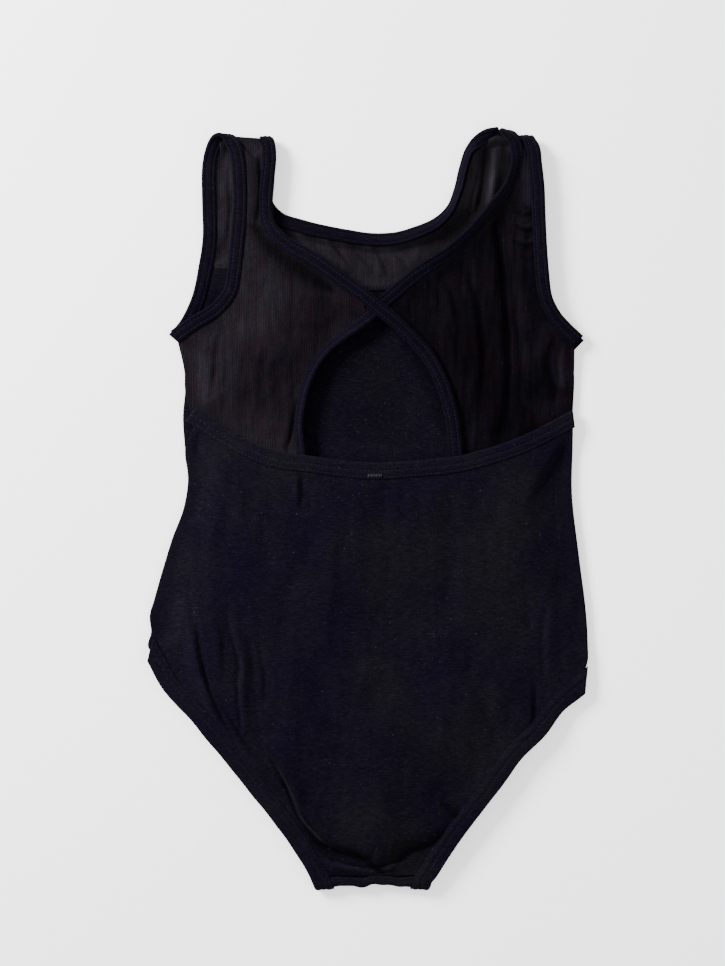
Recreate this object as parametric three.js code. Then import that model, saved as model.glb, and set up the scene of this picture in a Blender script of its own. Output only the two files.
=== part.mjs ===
// Child's gymnastics leotard with a mesh yoke, mesh back wings and a crossed keyhole back.
// It lies flat on its front: +X to the wearer's right, +Y to the shoulders, +Z up through the back.
import * as THREE from 'three';

// Driving dimensions, millimetres
const jerseyThickness = 0.8;
const meshThickness = 0.4;
const bindingWidth = 9;
const legHemWidth = 12;
const topHemWidth = 11;
const foldRadius = 1.1;            // middle of the cloth, round a folded edge
const elasticThickness = 0.2;
const bindingElasticWidth = 1.6;
const hemElasticWidth = 6;
const elasticInset = 2.4;          // from the outside of a fold to the elastic in it
const seamGap = 0.3;
const slotGap = 1.2;               // between an elastic and the cloth beside it in a fold
const endGap = 2.2;                // half the gap where two bands meet end to end
const threadThickness = 0.6;
const seamWidth = 4;
const samplesPerSpan = 2;          // steps between two points of a band's route

// Heights of the middle of each layer
const floorBand = foldRadius + jerseyThickness / 2;   // a folded band that lies on the floor
const upperBand = 8.7;             // a folded band of the back layer
const underBand = 7;               // a band that passes below another
const overBand = 10.3;             // the band that passes over at the crossing
const shoulderBand = (floorBand + upperBand) / 2;
const hemMiddle = 10.4;
const hemSide = 5.6;
const frontSide = 2.6;             // front panel at the side seam
const backSide = 3.7;
const wingSide = 3.6;
const crotchBand = 6.5;
const hipBand = 5.2;
const backCrown = 9.4;
const holdDistance = 6.5;          // a panel keeps its edge height this far in
const layDistance = 13;            // and lies on the floor from here
const domeDistance = 38;           // the back layer reaches its crown from here

const clothMaterial = (color, roughness) => new THREE.MeshStandardMaterial({ color, roughness, metalness: 0 });
const jerseyMaterial = () => clothMaterial(0x13121b, 0.95);
const meshMaterial = () => clothMaterial(0x1e1a20, 0.8);
const bindingMaterial = () => clothMaterial(0x14121b, 0.9);
const elasticMaterial = () => clothMaterial(0x2a2a2e, 0.7);
const threadMaterial = () => clothMaterial(0x1a1922, 0.6);
const labelMaterial = () => clothMaterial(0x8d8c90, 0.6);

const leotard = new THREE.Group();

function vector(x, y, z) {
  return new THREE.Vector3(x, y, z);
}

function addPiece(name, geometry, material) {
  const mesh = new THREE.Mesh(geometry, material);
  mesh.name = name;
  leotard.add(mesh);
}

// A closed sheet of cloth: a grid of points through its middle, given its thickness
function clothSolid(grid, thickness) {
  const rows = grid.length;
  const columns = grid[0].length;
  const positions = [];
  const layerSize = rows * columns;
  for (const side of [0.5, -0.5]) {
    for (let i = 0; i < rows; i += 1) {
      for (let j = 0; j < columns; j += 1) {
        const along = grid[i][Math.min(j + 1, columns - 1)].clone().sub(grid[i][Math.max(j - 1, 0)]);
        const down = grid[Math.min(i + 1, rows - 1)][j].clone().sub(grid[Math.max(i - 1, 0)][j]);
        const normal = along.cross(down).normalize();
        positions.push(...grid[i][j].clone().addScaledVector(normal, side * thickness).toArray());
      }
    }
  }
  const index = [];
  const at = (i, j) => i * columns + j;
  for (let i = 0; i < rows - 1; i += 1) {
    for (let j = 0; j < columns - 1; j += 1) {
      const corners = [at(i, j), at(i, j + 1), at(i + 1, j + 1), at(i + 1, j)];
      const [a, b, c, d] = corners;
      const [e, f, g, h] = corners.map((corner) => corner + layerSize);
      index.push(a, b, c, a, c, d, e, g, f, e, h, g);
    }
  }
  const rim = [];
  for (let j = 0; j < columns - 1; j += 1) rim.push(at(0, j));
  for (let i = 0; i < rows - 1; i += 1) rim.push(at(i, columns - 1));
  for (let j = columns - 1; j > 0; j -= 1) rim.push(at(rows - 1, j));
  for (let i = rows - 1; i > 0; i -= 1) rim.push(at(i, 0));
  rim.forEach((p, k) => {
    const q = rim[(k + 1) % rim.length];
    index.push(p, p + layerSize, q + layerSize, p, q + layerSize, q);
  });
  const geometry = new THREE.BufferGeometry();
  geometry.setAttribute('position', new THREE.Float32BufferAttribute(positions, 3));
  geometry.setIndex(index);
  geometry.computeVertexNormals();
  return geometry;
}

// Frames along a band: route points are [x, y, z, face], face -1 on the front layer, 1 on the back.
// turn is the way the band faces where it rolls from front to back, hand the side the cloth is on.
function bandFrames(route, turn, hand) {
  const spine = new THREE.CatmullRomCurve3(route.map(([x, y, z]) => vector(x, y, z)), false, 'centripetal');
  const spans = route.length - 1;
  const frames = [];
  for (let k = 0; k <= spans * samplesPerSpan; k += 1) {
    const t = k / (spans * samplesPerSpan);
    const span = Math.min(Math.floor(t * spans + 1e-9), spans - 1);
    const blend = THREE.MathUtils.smoothstep(t * spans - span, 0, 1);
    const face = THREE.MathUtils.lerp(route[span][3], route[span + 1][3], blend);
    const roll = (face + 1) * Math.PI / 2;
    const tangent = spine.getTangent(t);
    const outward = vector(0, turn * Math.sin(roll), -Math.cos(roll));
    outward.addScaledVector(tangent, -outward.dot(tangent)).normalize();
    const inward = outward.clone().cross(tangent).multiplyScalar(hand);
    const place = spine.getPoint(t);
    place.z = Math.max(place.z, floorBand + Math.abs(inward.z) * bindingWidth / 2);
    frames.push({ place, outward, inward });
  }
  return frames;
}

// A strip folded lengthwise, open on the side where the cloth goes in
function foldedStrip(frames, width, radius, thickness) {
  const fold = (thickness - width) / 2;
  const mouth = -fold;
  const section = [
    [mouth, radius], [fold + radius, radius], [fold, 0], [fold + radius, -radius], [mouth, -radius],
  ];
  const grid = frames.map(({ place, outward, inward }) => section.map(([across, up]) => (
    place.clone().addScaledVector(inward, across).addScaledVector(outward, up))));
  return clothSolid(grid, thickness);
}

// A flat elastic that lies inside a folded strip
function elasticStrip(frames, width, elasticWidth) {
  const start = elasticInset - width / 2;
  const grid = frames.slice(2, -2).map(({ place, inward }) => [start, start + elasticWidth].map((across) => (
    place.clone().addScaledVector(inward, across))));
  return clothSolid(grid, elasticThickness);
}

// The line of a panel's edge inside a folded strip, from one frame to another
function slotEdge(frames, from, to, inset) {
  const step = from < to ? 1 : -1;
  const points = [];
  for (let k = from; k !== to + step; k += step) {
    points.push(frames[k].place.clone().addScaledVector(frames[k].inward, inset));
  }
  return points;
}

function insetFor(width, elasticWidth) {
  return elasticInset + elasticWidth + slotGap - width / 2;
}

// A boundary made of several smooth stretches: parts are [points, end fraction]
function chain(parts) {
  const curves = parts.map(([points, end]) => ({
    curve: new THREE.CatmullRomCurve3(points, false, 'centripetal'), end,
  }));
  return (fraction) => {
    let start = 0;
    for (const { curve, end } of curves) {
      if (fraction <= end + 1e-9) return curve.getPointAt(Math.min((fraction - start) / (end - start), 1));
      start = end;
    }
    return curves.at(-1).curve.getPointAt(1);
  };
}

// A four-sided panel; its height follows the nearest edge and eases to the crown height inside
function panelGrid({ top, bottom, left, right, across, down, crown, near, far, wrapFrom = 2 }) {
  const corner = [top(0), top(1), bottom(0), bottom(1)];
  const grid = down.map((v) => across.map((u) => {
    const place = top(u).multiplyScalar(1 - v).addScaledVector(bottom(u), v);
    place.addScaledVector(left(v), 1 - u).addScaledVector(right(v), u);
    place.addScaledVector(corner[0], (u - 1) * (1 - v)).addScaledVector(corner[1], -u * (1 - v));
    place.addScaledVector(corner[2], (u - 1) * v).addScaledVector(corner[3], -u * v);
    return place;
  }));
  const lastRow = down.length - 1;
  const lastColumn = across.length - 1;
  const edgeSteps = 150;
  const edges = [];
  for (let k = 0; k <= edgeSteps; k += 1) {
    edges.push(...[top, bottom, left, right].map((side) => side(k / edgeSteps)));
  }
  grid.forEach((row, i) => row.forEach((place, j) => {
    const inside = i > 0 && i < lastRow && j > 0 && j < lastColumn;
    if (!inside) return;
    if (down[i] >= wrapFrom) {
      place.z = THREE.MathUtils.lerp(left(down[i]).z, right(down[i]).z, across[j]);
      return;
    }
    let closest = Infinity;
    let height = crown;
    for (const edge of edges) {
      const distance = Math.hypot(edge.x - place.x, edge.y - place.y);
      if (distance < closest) {
        closest = distance;
        height = edge.z;
      }
    }
    place.z = THREE.MathUtils.lerp(height, crown, THREE.MathUtils.smoothstep(closest, near, far));
  }));
  return grid;
}

// A flat ribbon along a route
function ribbon(points, width, count) {
  const spine = new THREE.CatmullRomCurve3(points, false, 'centripetal');
  const grid = [];
  for (let k = 0; k <= count; k += 1) {
    const tangent = spine.getTangentAt(k / count);
    const sideways = vector(-tangent.y, tangent.x, 0).setLength(width / 2);
    const place = spine.getPointAt(k / count);
    grid.push([place.clone().sub(sideways), place.clone().add(sideways)]);
  }
  return grid;
}

const level = (points, z, face) => points.map(([x, y]) => [x, y, z, face]);

// Routes of the folded bands, each through the middle of its width
const armholeLeftRoute = [
  ...level([[-131, 115], [-122, 126], [-115, 141], [-109.5, 165], [-107, 182], [-107, 202], [-107.5, 222]],
    floorBand, -1),
  [-107, 234, floorBand, -1], [-105.5, 242, 2, -0.85], [-102.5, 249, 3.3, -0.5], [-100.2, 251.6, 4.2, -0.25],
  [-97.5, 252.7, shoulderBand, 0], [-94.8, 251.8, 6, 0.25], [-92.5, 249.5, 6.9, 0.5], [-89, 243, 8.2, 0.85],
  [-87, 234, upperBand, 1],
  ...level([[-86, 220], [-86, 200], [-88, 178], [-90, 160], [-93, 146]], upperBand, 1),
  [-103, 134, 8.3, 1], [-116, 126, 7, 1], [-129.5, 117, 5.6, 1],
];
const armholeRightRoute = [
  ...level([[142, 113], [132, 123], [123, 137], [118, 165], [117, 182], [116, 202], [115, 222], [113.5, 234]],
    floorBand, -1),
  [112, 243, 1.8, -0.9], [110.5, 249, 3.3, -0.4], [110.2, 250.5, 4.2, -0.2], [110, 251, shoulderBand, 0],
  [110.2, 250.5, 6, 0.2], [110.5, 249, 6.9, 0.4], [112, 243, 8.4, 0.9], [113.5, 234, upperBand, 1],
  ...level([[115, 220], [116, 200], [117, 178], [118, 160], [121, 142]], upperBand, 1),
  [127, 130, 8.3, 1], [134, 122, 7, 1], [141, 115.5, 5.6, 1],
];
const neckFrontRoute = [
  [-66, 251, shoulderBand - endGap, -0.1], [-66.5, 248.5, 2.3, -0.7], [-68, 238, floorBand, -1],
  ...level([[-69.5, 222], [-68.5, 207], [-60, 197], [-45, 191.5], [-28, 187.5], [-12, 184.5], [3, 182.5],
    [18, 183], [33, 187], [46, 192.5], [56, 202], [62, 216], [66, 232]], floorBand, -1),
  [70, 243, 1.8, -0.9], [79, 251.5, 3, -0.5], [89.5, 256.5, shoulderBand - endGap, -0.1],
];
const crossLeftRoute = [
  [-66, 251, shoulderBand + endGap, 0.1], [-66, 248.5, 7.9, 0.7], [-66, 238, upperBand, 1],
  ...level([[-67.5, 222], [-68.5, 205], [-66, 191], [-57, 181], [-46, 174], [-32, 165.5]], upperBand, 1),
  [-19, 156, 9.2, 1], [-5, 146, 10.1, 1], [7, 136, overBand, 1], [20, 125.5, 10.1, 1],
  [32, 114, 9.2, 1],
  ...level([[42, 102], [49, 89], [54.5, 74], [58, 59]], upperBand, 1),
  [59.5, 45, 7.6, 1], [60.5, 35, underBand, 1], [61, 27, underBand, 1],
];
const crossRightRoute = [
  [91, 256.5, shoulderBand + endGap, 0.1], [98, 251.5, 7.6, 0.6], [101.5, 240, upperBand, 1],
  ...level([[100, 228], [95, 216], [85, 203], [73, 189], [58, 174.5], [43, 165]], upperBand, 1),
  [30, 155.5, 7.8, 1], [18, 145.5, underBand, 1], [7.8, 136.6, underBand, 1],
];
const keyholeLeftRoute = [
  [6.6, 135.4, underBand, 1],
  ...level([[-5, 125.5], [-17, 117], [-28, 108], [-36, 97], [-42, 84], [-45.5, 70], [-47, 55], [-46, 42],
    [-45, 27]], underBand, 1),
];
const topHemRoute = [
  [-114.5, 60, hemSide, 1], [-98, 49.5, 7.6, 1], [-78, 38.5, 9.6, 1], [-60, 32.5, hemMiddle, 1],
  ...level([[-40, 30], [-20, 27], [5, 25], [30, 26.5], [60, 29.5]], hemMiddle, 1),
  [82, 35, hemMiddle, 1], [104, 42.5, 9, 1], [122, 51, 7.2, 1], [137.5, 59.5, hemSide, 1],
];

// A leg hem: down the front from the hip, round the crotch and up the back
function legRoute(plan, crotchX) {
  const backHeights = [hipBand, 5.7, 8, upperBand, upperBand, upperBand, 8.4, 7.6, 7];
  const roll = [[-253.7, floorBand, -1], [-256.3, 2.3, -0.5], [-257.2, 4, 0], [-256.3, 5.7, 0.5],
    [-253.7, crotchBand, 1], [-250.5, crotchBand, 1]];
  return [
    ...level(plan, floorBand, -1),
    ...roll.map(([y, z, face]) => [crotchX, y, z, face]),
    ...plan.map(([x, y], k) => [x, y, backHeights[k], 1]).reverse(),
  ];
}
const legLeftRoute = legRoute(
  [[-142.3, -103.5], [-132.5, -120], [-114, -140], [-97, -160], [-80, -181], [-64, -201], [-49, -221], [-40, -235],
    [-34, -246]], -31);
const legRightRoute = legRoute(
  [[143, -121], [130, -132], [115, -150], [97, -169], [82, -190], [67, -209], [55, -225], [47, -237],
    [41, -247]], 38);
const frameAt = (routeIndex) => routeIndex * samplesPerSpan;
const armholeYoke = frameAt(3);
const armholeTop = frameAt(11);
const crotchSeamPoint = frameAt(14);

const armholeLeft = bandFrames(armholeLeftRoute, 1, 1);
const armholeRight = bandFrames(armholeRightRoute, 1, -1);
const neckFront = bandFrames(neckFrontRoute, 1, 1).slice(1);
const crossLeft = bandFrames(crossLeftRoute, 1, -1);
const crossRight = bandFrames(crossRightRoute, 1, 1);
const keyholeLeft = bandFrames(keyholeLeftRoute, 1, -1);
const topHem = bandFrames(topHemRoute, 1, -1);
const legLeft = bandFrames(legLeftRoute, -1, -1);
const legRight = bandFrames(legRightRoute, -1, 1);

const bands = [
  ['neck_binding_front', 'neck_elastic_front', neckFront, bindingWidth, bindingElasticWidth],
  ['cross_band_left', 'cross_band_elastic_left', crossLeft, bindingWidth, bindingElasticWidth],
  ['cross_band_right', 'cross_band_elastic_right', crossRight, bindingWidth, bindingElasticWidth],
  ['keyhole_binding_left', 'keyhole_elastic_left', keyholeLeft, bindingWidth, bindingElasticWidth],
  ['armhole_binding_left', 'armhole_elastic_left', armholeLeft, bindingWidth, bindingElasticWidth],
  ['armhole_binding_right', 'armhole_elastic_right', armholeRight, bindingWidth, bindingElasticWidth],
  ['back_top_hem', 'back_top_elastic', topHem, topHemWidth, hemElasticWidth],
  ['leg_hem_left', 'leg_elastic_left', legLeft, legHemWidth, hemElasticWidth],
  ['leg_hem_right', 'leg_elastic_right', legRight, legHemWidth, hemElasticWidth],
];
for (const [bandName, elasticName, frames, width, elasticWidth] of bands) {
  addPiece(bandName, foldedStrip(frames, width, foldRadius, jerseyThickness), bindingMaterial());
  addPiece(elasticName, elasticStrip(frames, width, elasticWidth), elasticMaterial());
}

const bindingInset = insetFor(bindingWidth, bindingElasticWidth);
const legInset = insetFor(legHemWidth, hemElasticWidth);
const topInset = insetFor(topHemWidth, hemElasticWidth);
const raised = (points, z) => points.map(([x, y]) => vector(x, y, z));

// Side seams from the underarm to the hip
const sideLeftPlan = [[-124, 93], [-123.5, 80], [-125, 62], [-123.5, 40], [-121.5, 20], [-124.5, 0], [-132, -20],
  [-138.5, -41], [-144.5, -62], [-147.5, -73], [-146.5, -84], [-148.5, -94]];
const sideRightPlan = [[140.5, 93], [139.5, 62], [139.5, 40], [139, 10], [143.5, -30], [148.5, -70], [149.7, -90],
  [148, -106]];

// The seam between the yoke and the front body
const yokeSeamPlan = [[-90, 164], [-40, 155], [5, 150], [50, 155], [95, 164]];
const bodyColumns = [0, 0.012, 0.03, 0.055, 0.1, 0.15, 0.2, 0.35, 0.5, 0.65, 0.8, 0.85, 0.9, 0.945, 0.97, 0.988,
  1];
const legClear = legHemWidth / 2 + endGap;      // from a leg hem's middle to a cloth just past its mouth
const rollStart = frameAt(8);

// The side seam's edge keeps its height down to the hip, where it goes into the leg hem
const frontSideLine = (plan) => [...raised(plan.slice(0, -1), frontSide), ...raised(plan.slice(-1), floorBand)];
const backSideLine = (plan) => [...raised(plan.slice(0, -1), backSide), ...raised(plan.slice(-1), hipBand)];

function addFrontBody() {
  const sideShare = 0.45;
  const [legLeftEdge, legRightEdge] = [legLeft, legRight].map((leg) => [
    ...slotEdge(leg, 1, rollStart, legInset), ...slotEdge(leg, rollStart + 2, crotchSeamPoint, legClear)]);
  const armLeftEdge = slotEdge(armholeLeft, 1, armholeYoke, bindingInset);
  const armRightEdge = slotEdge(armholeRight, armholeYoke, 1, bindingInset);
  const yokeStart = armLeftEdge.at(-1);
  const yokeEnd = armRightEdge[0];
  const grid = panelGrid({
    top: chain([[armLeftEdge, 0.2],
      [[yokeStart, ...raised(yokeSeamPlan, jerseyThickness / 2), yokeEnd], 0.8],
      [armRightEdge, 1]]),
    bottom: chain([[[legLeftEdge.at(-1), legRightEdge.at(-1)], 1]]),
    left: chain([[[armLeftEdge[0], ...frontSideLine(sideLeftPlan), legLeftEdge[0]], sideShare],
      [legLeftEdge, 1]]),
    right: chain([[[armRightEdge.at(-1), ...frontSideLine(sideRightPlan), legRightEdge[0]], sideShare],
      [legRightEdge, 1]]),
    across: bodyColumns,
    down: [0, 0.015, 0.04, 0.08, 0.14, 0.2, 0.26, 0.32, 0.38, 0.42, 0.45, 0.48, 0.52, 0.58, 0.65, 0.72, 0.8,
      0.86, 0.9, 0.925, 0.94, 0.955, 0.97, 0.985, 1],
    crown: jerseyThickness / 2,
    near: holdDistance,
    far: layDistance,
    wrapFrom: 0.92,
  });
  addPiece('front_body', clothSolid(grid, jerseyThickness), jerseyMaterial());
}

function addFrontYoke() {
  const armLeftEdge = slotEdge(armholeLeft, armholeTop - 6, armholeYoke, bindingInset);
  const armRightEdge = slotEdge(armholeRight, armholeTop - 6, armholeYoke, bindingInset);
  const neckEdge = slotEdge(neckFront, 2, neckFront.length - 5, bindingInset + 2.5 * slotGap);
  const lift = seamGap + slotGap;
  const seamHeight = (meshThickness + jerseyThickness) / 4;
  const seam = [armLeftEdge.at(-1), ...raised(yokeSeamPlan, seamHeight), armRightEdge.at(-1)].map((place) => (
    place.clone().add(vector(0, lift, 0))));
  armLeftEdge.splice(-1, 1, seam[0]);
  armRightEdge.splice(-1, 1, seam.at(-1));
  const grid = panelGrid({
    top: chain([[[armLeftEdge[0], neckEdge[0]], 0.16], [neckEdge, 0.84], [[neckEdge.at(-1), armRightEdge[0]], 1]]),
    bottom: chain([[seam, 1]]),
    left: chain([[armLeftEdge, 1]]),
    right: chain([[armRightEdge, 1]]),
    across: [0, 0.03, 0.08, 0.13, 0.16, 0.2, 0.24, 0.28, 0.34, 0.42, 0.5, 0.58, 0.66, 0.72, 0.76, 0.8, 0.84,
      0.87, 0.92, 0.97, 1],
    down: [0, 0.04, 0.1, 0.16, 0.25, 0.38, 0.52, 0.68, 0.84, 1],
    crown: meshThickness / 2,
    near: holdDistance,
    far: layDistance,
  });
  addPiece('front_yoke', clothSolid(grid, meshThickness), meshMaterial());
}

function addBackBody() {
  const sideShare = 0.42;          // how much of the panel's height is side seam, the rest leg opening
  const topEdge = slotEdge(topHem, 0, topHem.length - 1, topInset);
  const legLeftEdge = slotEdge(legLeft, legLeft.length - 2, crotchSeamPoint + 1, legInset);
  const legRightEdge = slotEdge(legRight, legRight.length - 2, crotchSeamPoint + 1, legInset);
  const grid = panelGrid({
    top: chain([[topEdge, 1]]),
    bottom: chain([[[legLeftEdge.at(-1), legRightEdge.at(-1)], 1]]),
    left: chain([[[topEdge[0], vector(-119.5, 51, hemSide - 0.4), ...backSideLine(sideLeftPlan.slice(3)),
      legLeftEdge[0]], sideShare], [legLeftEdge, 1]]),
    right: chain([[[topEdge.at(-1), vector(139.5, 49, hemSide - 0.2), ...backSideLine(sideRightPlan.slice(2)),
      legRightEdge[0]], sideShare], [legRightEdge, 1]]),
    across: bodyColumns,
    down: [0, 0.015, 0.04, 0.08, 0.14, 0.2, 0.26, 0.32, 0.37, 0.42, 0.46, 0.5, 0.56, 0.62, 0.7, 0.78, 0.86,
      0.93, 0.97, 1],
    crown: backCrown,
    near: holdDistance,
    far: domeDistance,
  });
  addPiece('back_body', clothSolid(grid, jerseyThickness), jerseyMaterial());
}

// The lower edges of both wings lie under the top hem
const wingBottomLeft = [[-119, 62], [-101, 51.5], [-78, 39.5], [-63, 33.5], [-50, 31]];
const wingBottomRight = [[57, 30], [85, 36], [107, 44.5], [124, 52.5], [138, 61]];

function wingGrid(top, bottom, left, right) {
  return panelGrid({
    top,
    bottom,
    left,
    right,
    across: [0, 0.06, 0.14, 0.25, 0.4, 0.6, 0.75, 0.86, 0.94, 1],
    down: [0, 0.04, 0.08, 0.14, 0.22, 0.3, 0.4, 0.5, 0.55, 0.6, 0.65, 0.7, 0.76, 0.82, 0.88, 0.94, 1],
    crown: upperBand,
    near: holdDistance,
    far: domeDistance,
  });
}

function addWingLeft() {
  const armEdge = slotEdge(armholeLeft, armholeTop + 5, armholeLeft.length - 2, bindingInset + slotGap);
  const neckEdge = slotEdge(crossLeft, 2, frameAt(7), bindingInset + slotGap);
  const keyholeEdge = slotEdge(keyholeLeft, 2, keyholeLeft.length - 2, bindingInset);
  const clearOfBand = bindingWidth / 2 + 2;
  const underCrossing = [slotEdge(crossLeft, frameAt(8), frameAt(8), clearOfBand)[0].setZ(upperBand),
    slotEdge(crossLeft, frameAt(10), frameAt(10), clearOfBand)[0].setZ(underBand + 0.4)];
  const hemEdge = wingBottomLeft.map(([x, y], k) => vector(x, y, [3.6, 4.4, 5.4, 6.4, underBand][k]));
  const innerEdge = [...neckEdge, ...underCrossing, keyholeEdge[0]];
  const grid = wingGrid(
    chain([[[armEdge[0], neckEdge[0]], 1]]),
    chain([[[...hemEdge.slice(0, -1), keyholeEdge.at(-1)], 1]]),
    chain([[armEdge, 0.65],
      [[armEdge.at(-1), ...raised(sideLeftPlan.slice(0, 2), wingSide), hemEdge[0]], 1]]),
    chain([[innerEdge, 0.6], [keyholeEdge, 1]]),
  );
  addPiece('back_wing_left', clothSolid(grid, meshThickness), meshMaterial());
}

function addWingRight() {
  const armEdge = slotEdge(armholeRight, armholeTop + 5, armholeRight.length - 2, bindingInset + slotGap);
  const neckEdge = slotEdge(crossRight, 3, frameAt(10), bindingInset + slotGap);
  const keyholeEdge = slotEdge(crossLeft, frameAt(12), crossLeft.length - 2, 0);
  keyholeEdge.forEach((place) => {
    place.z = Math.min(underBand, place.z - floorBand - seamGap - meshThickness);
  });
  const hemEdge = wingBottomRight.map(([x, y], k) => vector(x, y, [0, 5.6, 5, 4.2, 3.6][k]));
  const grid = wingGrid(
    chain([[[neckEdge[0], armEdge[0]], 1]]),
    chain([[[keyholeEdge.at(-1), ...hemEdge.slice(1)], 1]]),
    chain([[neckEdge, 0.6], [[neckEdge.at(-1), ...keyholeEdge], 1]]),
    chain([[armEdge, 0.65],
      [[armEdge.at(-1), ...raised(sideRightPlan.slice(0, 1), wingSide), hemEdge.at(-1)], 1]]),
  );
  addPiece('back_wing_right', clothSolid(grid, meshThickness), meshMaterial());
}

// Overlocked seam allowances, inside the garment along each seam
function addSeams() {
  const shift = 15;
  const between = frontSide - seamGap;
  const seams = {
    side_seam_left: [sideLeftPlan.slice(2).map(([x, y]) => vector(x + shift, y, between)), 16],
    side_seam_right: [sideRightPlan.slice(1).map(([x, y]) => vector(x - shift, y, between)), 16],
    yoke_seam: [raised([[-62, 157.5], [-30, 152.5], [5, 149.5], [40, 152.5], [68, 157.5]],
      jerseyThickness + seamGap + threadThickness / 2), 20],
    crotch_seam: [raised([[-20, -250.5], [4, -250.5], [27, -250.5]], crotchBand - 1), 4],
    shoulder_seam_left: [raised([[-85, 249], [-75, 249]], shoulderBand), 3],
    shoulder_seam_right: [raised([[98, 244], [104, 243]], shoulderBand), 2],
  };
  for (const [name, [points, count]] of Object.entries(seams)) {
    addPiece(name, clothSolid(ribbon(points, seamWidth, count), threadThickness), threadMaterial());
  }
}

function addInnerPieces() {
  const gussetHeight = jerseyThickness + seamGap + meshThickness;
  const gussetLeft = raised([[-62, -172], [-44, -200], [-29, -218], [-22, -228]], gussetHeight);
  const gussetRight = raised([[66, -172], [49, -200], [35, -218], [29, -228]], gussetHeight);
  const gusset = panelGrid({
    top: chain([[[gussetLeft[0], ...raised([[2, -166]], gussetHeight), gussetRight[0]], 1]]),
    bottom: chain([[[gussetLeft.at(-1), gussetRight.at(-1)], 1]]),
    left: chain([[gussetLeft, 1]]),
    right: chain([[gussetRight, 1]]),
    across: [0, 0.2, 0.4, 0.6, 0.8, 1],
    down: [0, 0.15, 0.3, 0.45, 0.6, 0.75, 0.9, 1],
    crown: gussetHeight,
    near: holdDistance,
    far: layDistance,
  });
  addPiece('crotch_gusset', clothSolid(gusset, meshThickness), jerseyMaterial());

  const labelLength = 28;
  const labelWidth = 24;
  const labelTop = 24;
  const labelHeight = 6.4;
  const labelRadius = 0.7;
  const labelFrames = [-0.5, 0, 0.5].map((side) => ({
    place: vector(5 + side * labelWidth, labelTop - labelLength / 2, labelHeight),
    outward: vector(0, 0, 1),
    inward: vector(0, 1, 0),
  }));
  addPiece('care_label', foldedStrip(labelFrames, labelLength, labelRadius, meshThickness), labelMaterial());

  const tacks = {
    label_tack: { points: raised([[0, 21], [5, 21], [10, 21]], 8.1), width: 2, thickness: 0.5, steps: 2 },
    crossing_tack: {
      points: raised([[3, 132], [7, 136], [11, 140]], 4.8), width: 5, thickness: threadThickness, steps: 3,
    },
  };
  for (const [name, { points, width, thickness, steps }] of Object.entries(tacks)) {
    addPiece(name, clothSolid(ribbon(points, width, steps), thickness), threadMaterial());
  }
}

addFrontBody();
addFrontYoke();
addBackBody();
addWingLeft();
addWingRight();
addSeams();
addInnerPieces();

// The origin is on the surface it lies on, under the middle of its box
const extent = new THREE.Box3().setFromObject(leotard);
const middle = extent.getCenter(new THREE.Vector3());
leotard.position.set(-middle.x, -middle.y, -extent.min.z);

export default leotard;
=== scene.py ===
import math
import random

import bpy
import numpy as np
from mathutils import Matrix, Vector, noise


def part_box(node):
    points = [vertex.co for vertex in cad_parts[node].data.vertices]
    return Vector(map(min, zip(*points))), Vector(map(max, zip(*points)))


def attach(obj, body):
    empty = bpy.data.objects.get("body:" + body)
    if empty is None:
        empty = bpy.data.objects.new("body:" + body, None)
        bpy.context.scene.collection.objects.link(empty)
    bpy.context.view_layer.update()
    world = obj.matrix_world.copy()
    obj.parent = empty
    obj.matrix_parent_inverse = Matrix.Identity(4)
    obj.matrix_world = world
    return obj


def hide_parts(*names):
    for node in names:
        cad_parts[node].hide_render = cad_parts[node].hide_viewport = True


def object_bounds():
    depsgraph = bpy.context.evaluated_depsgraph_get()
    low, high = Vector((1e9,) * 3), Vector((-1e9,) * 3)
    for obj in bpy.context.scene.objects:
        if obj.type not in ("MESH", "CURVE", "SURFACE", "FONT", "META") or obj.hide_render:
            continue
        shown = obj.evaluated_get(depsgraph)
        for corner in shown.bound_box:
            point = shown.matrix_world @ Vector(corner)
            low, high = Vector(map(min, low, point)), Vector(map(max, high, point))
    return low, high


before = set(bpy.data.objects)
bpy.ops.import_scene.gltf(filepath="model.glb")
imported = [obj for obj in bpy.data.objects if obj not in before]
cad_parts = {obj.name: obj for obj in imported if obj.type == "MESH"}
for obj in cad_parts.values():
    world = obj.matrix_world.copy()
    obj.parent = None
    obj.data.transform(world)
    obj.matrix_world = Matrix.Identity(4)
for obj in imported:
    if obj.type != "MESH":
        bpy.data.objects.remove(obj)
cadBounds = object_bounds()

# A child's leotard lying on its front: jersey body, mesh yoke and wings, bound edges, crossed back.
# The pattern is in millimetres, laid over the frame by the care label, which both have.
labelLow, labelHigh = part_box("care_label")
labelPlace = {"x": 5, "y": 10, "z": 6.4}
patternShift = (
    (labelLow.x + labelHigh.x) / 2 * 1000 - labelPlace["x"],
    (labelLow.y + labelHigh.y) / 2 * 1000 - labelPlace["y"],
    (labelLow.z + labelHigh.z) / 2 * 1000 - labelPlace["z"],
)
random.seed(11)

layers = {
    "floorBand": 1.5,
    "upperBand": 8.7,
    "underBand": 7,
    "overBand": 10.3,
    "shoulderBand": 5.1,
    "hemMiddle": 10.4,
    "hemSide": 5.6,
    "frontSide": 2.75,
    "backSide": 3.6,
    "wingSide": 3.6,
    "crotchBand": 6.5,
    "hipBand": 5.2,
    "endGap": 0.5,
}


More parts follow.
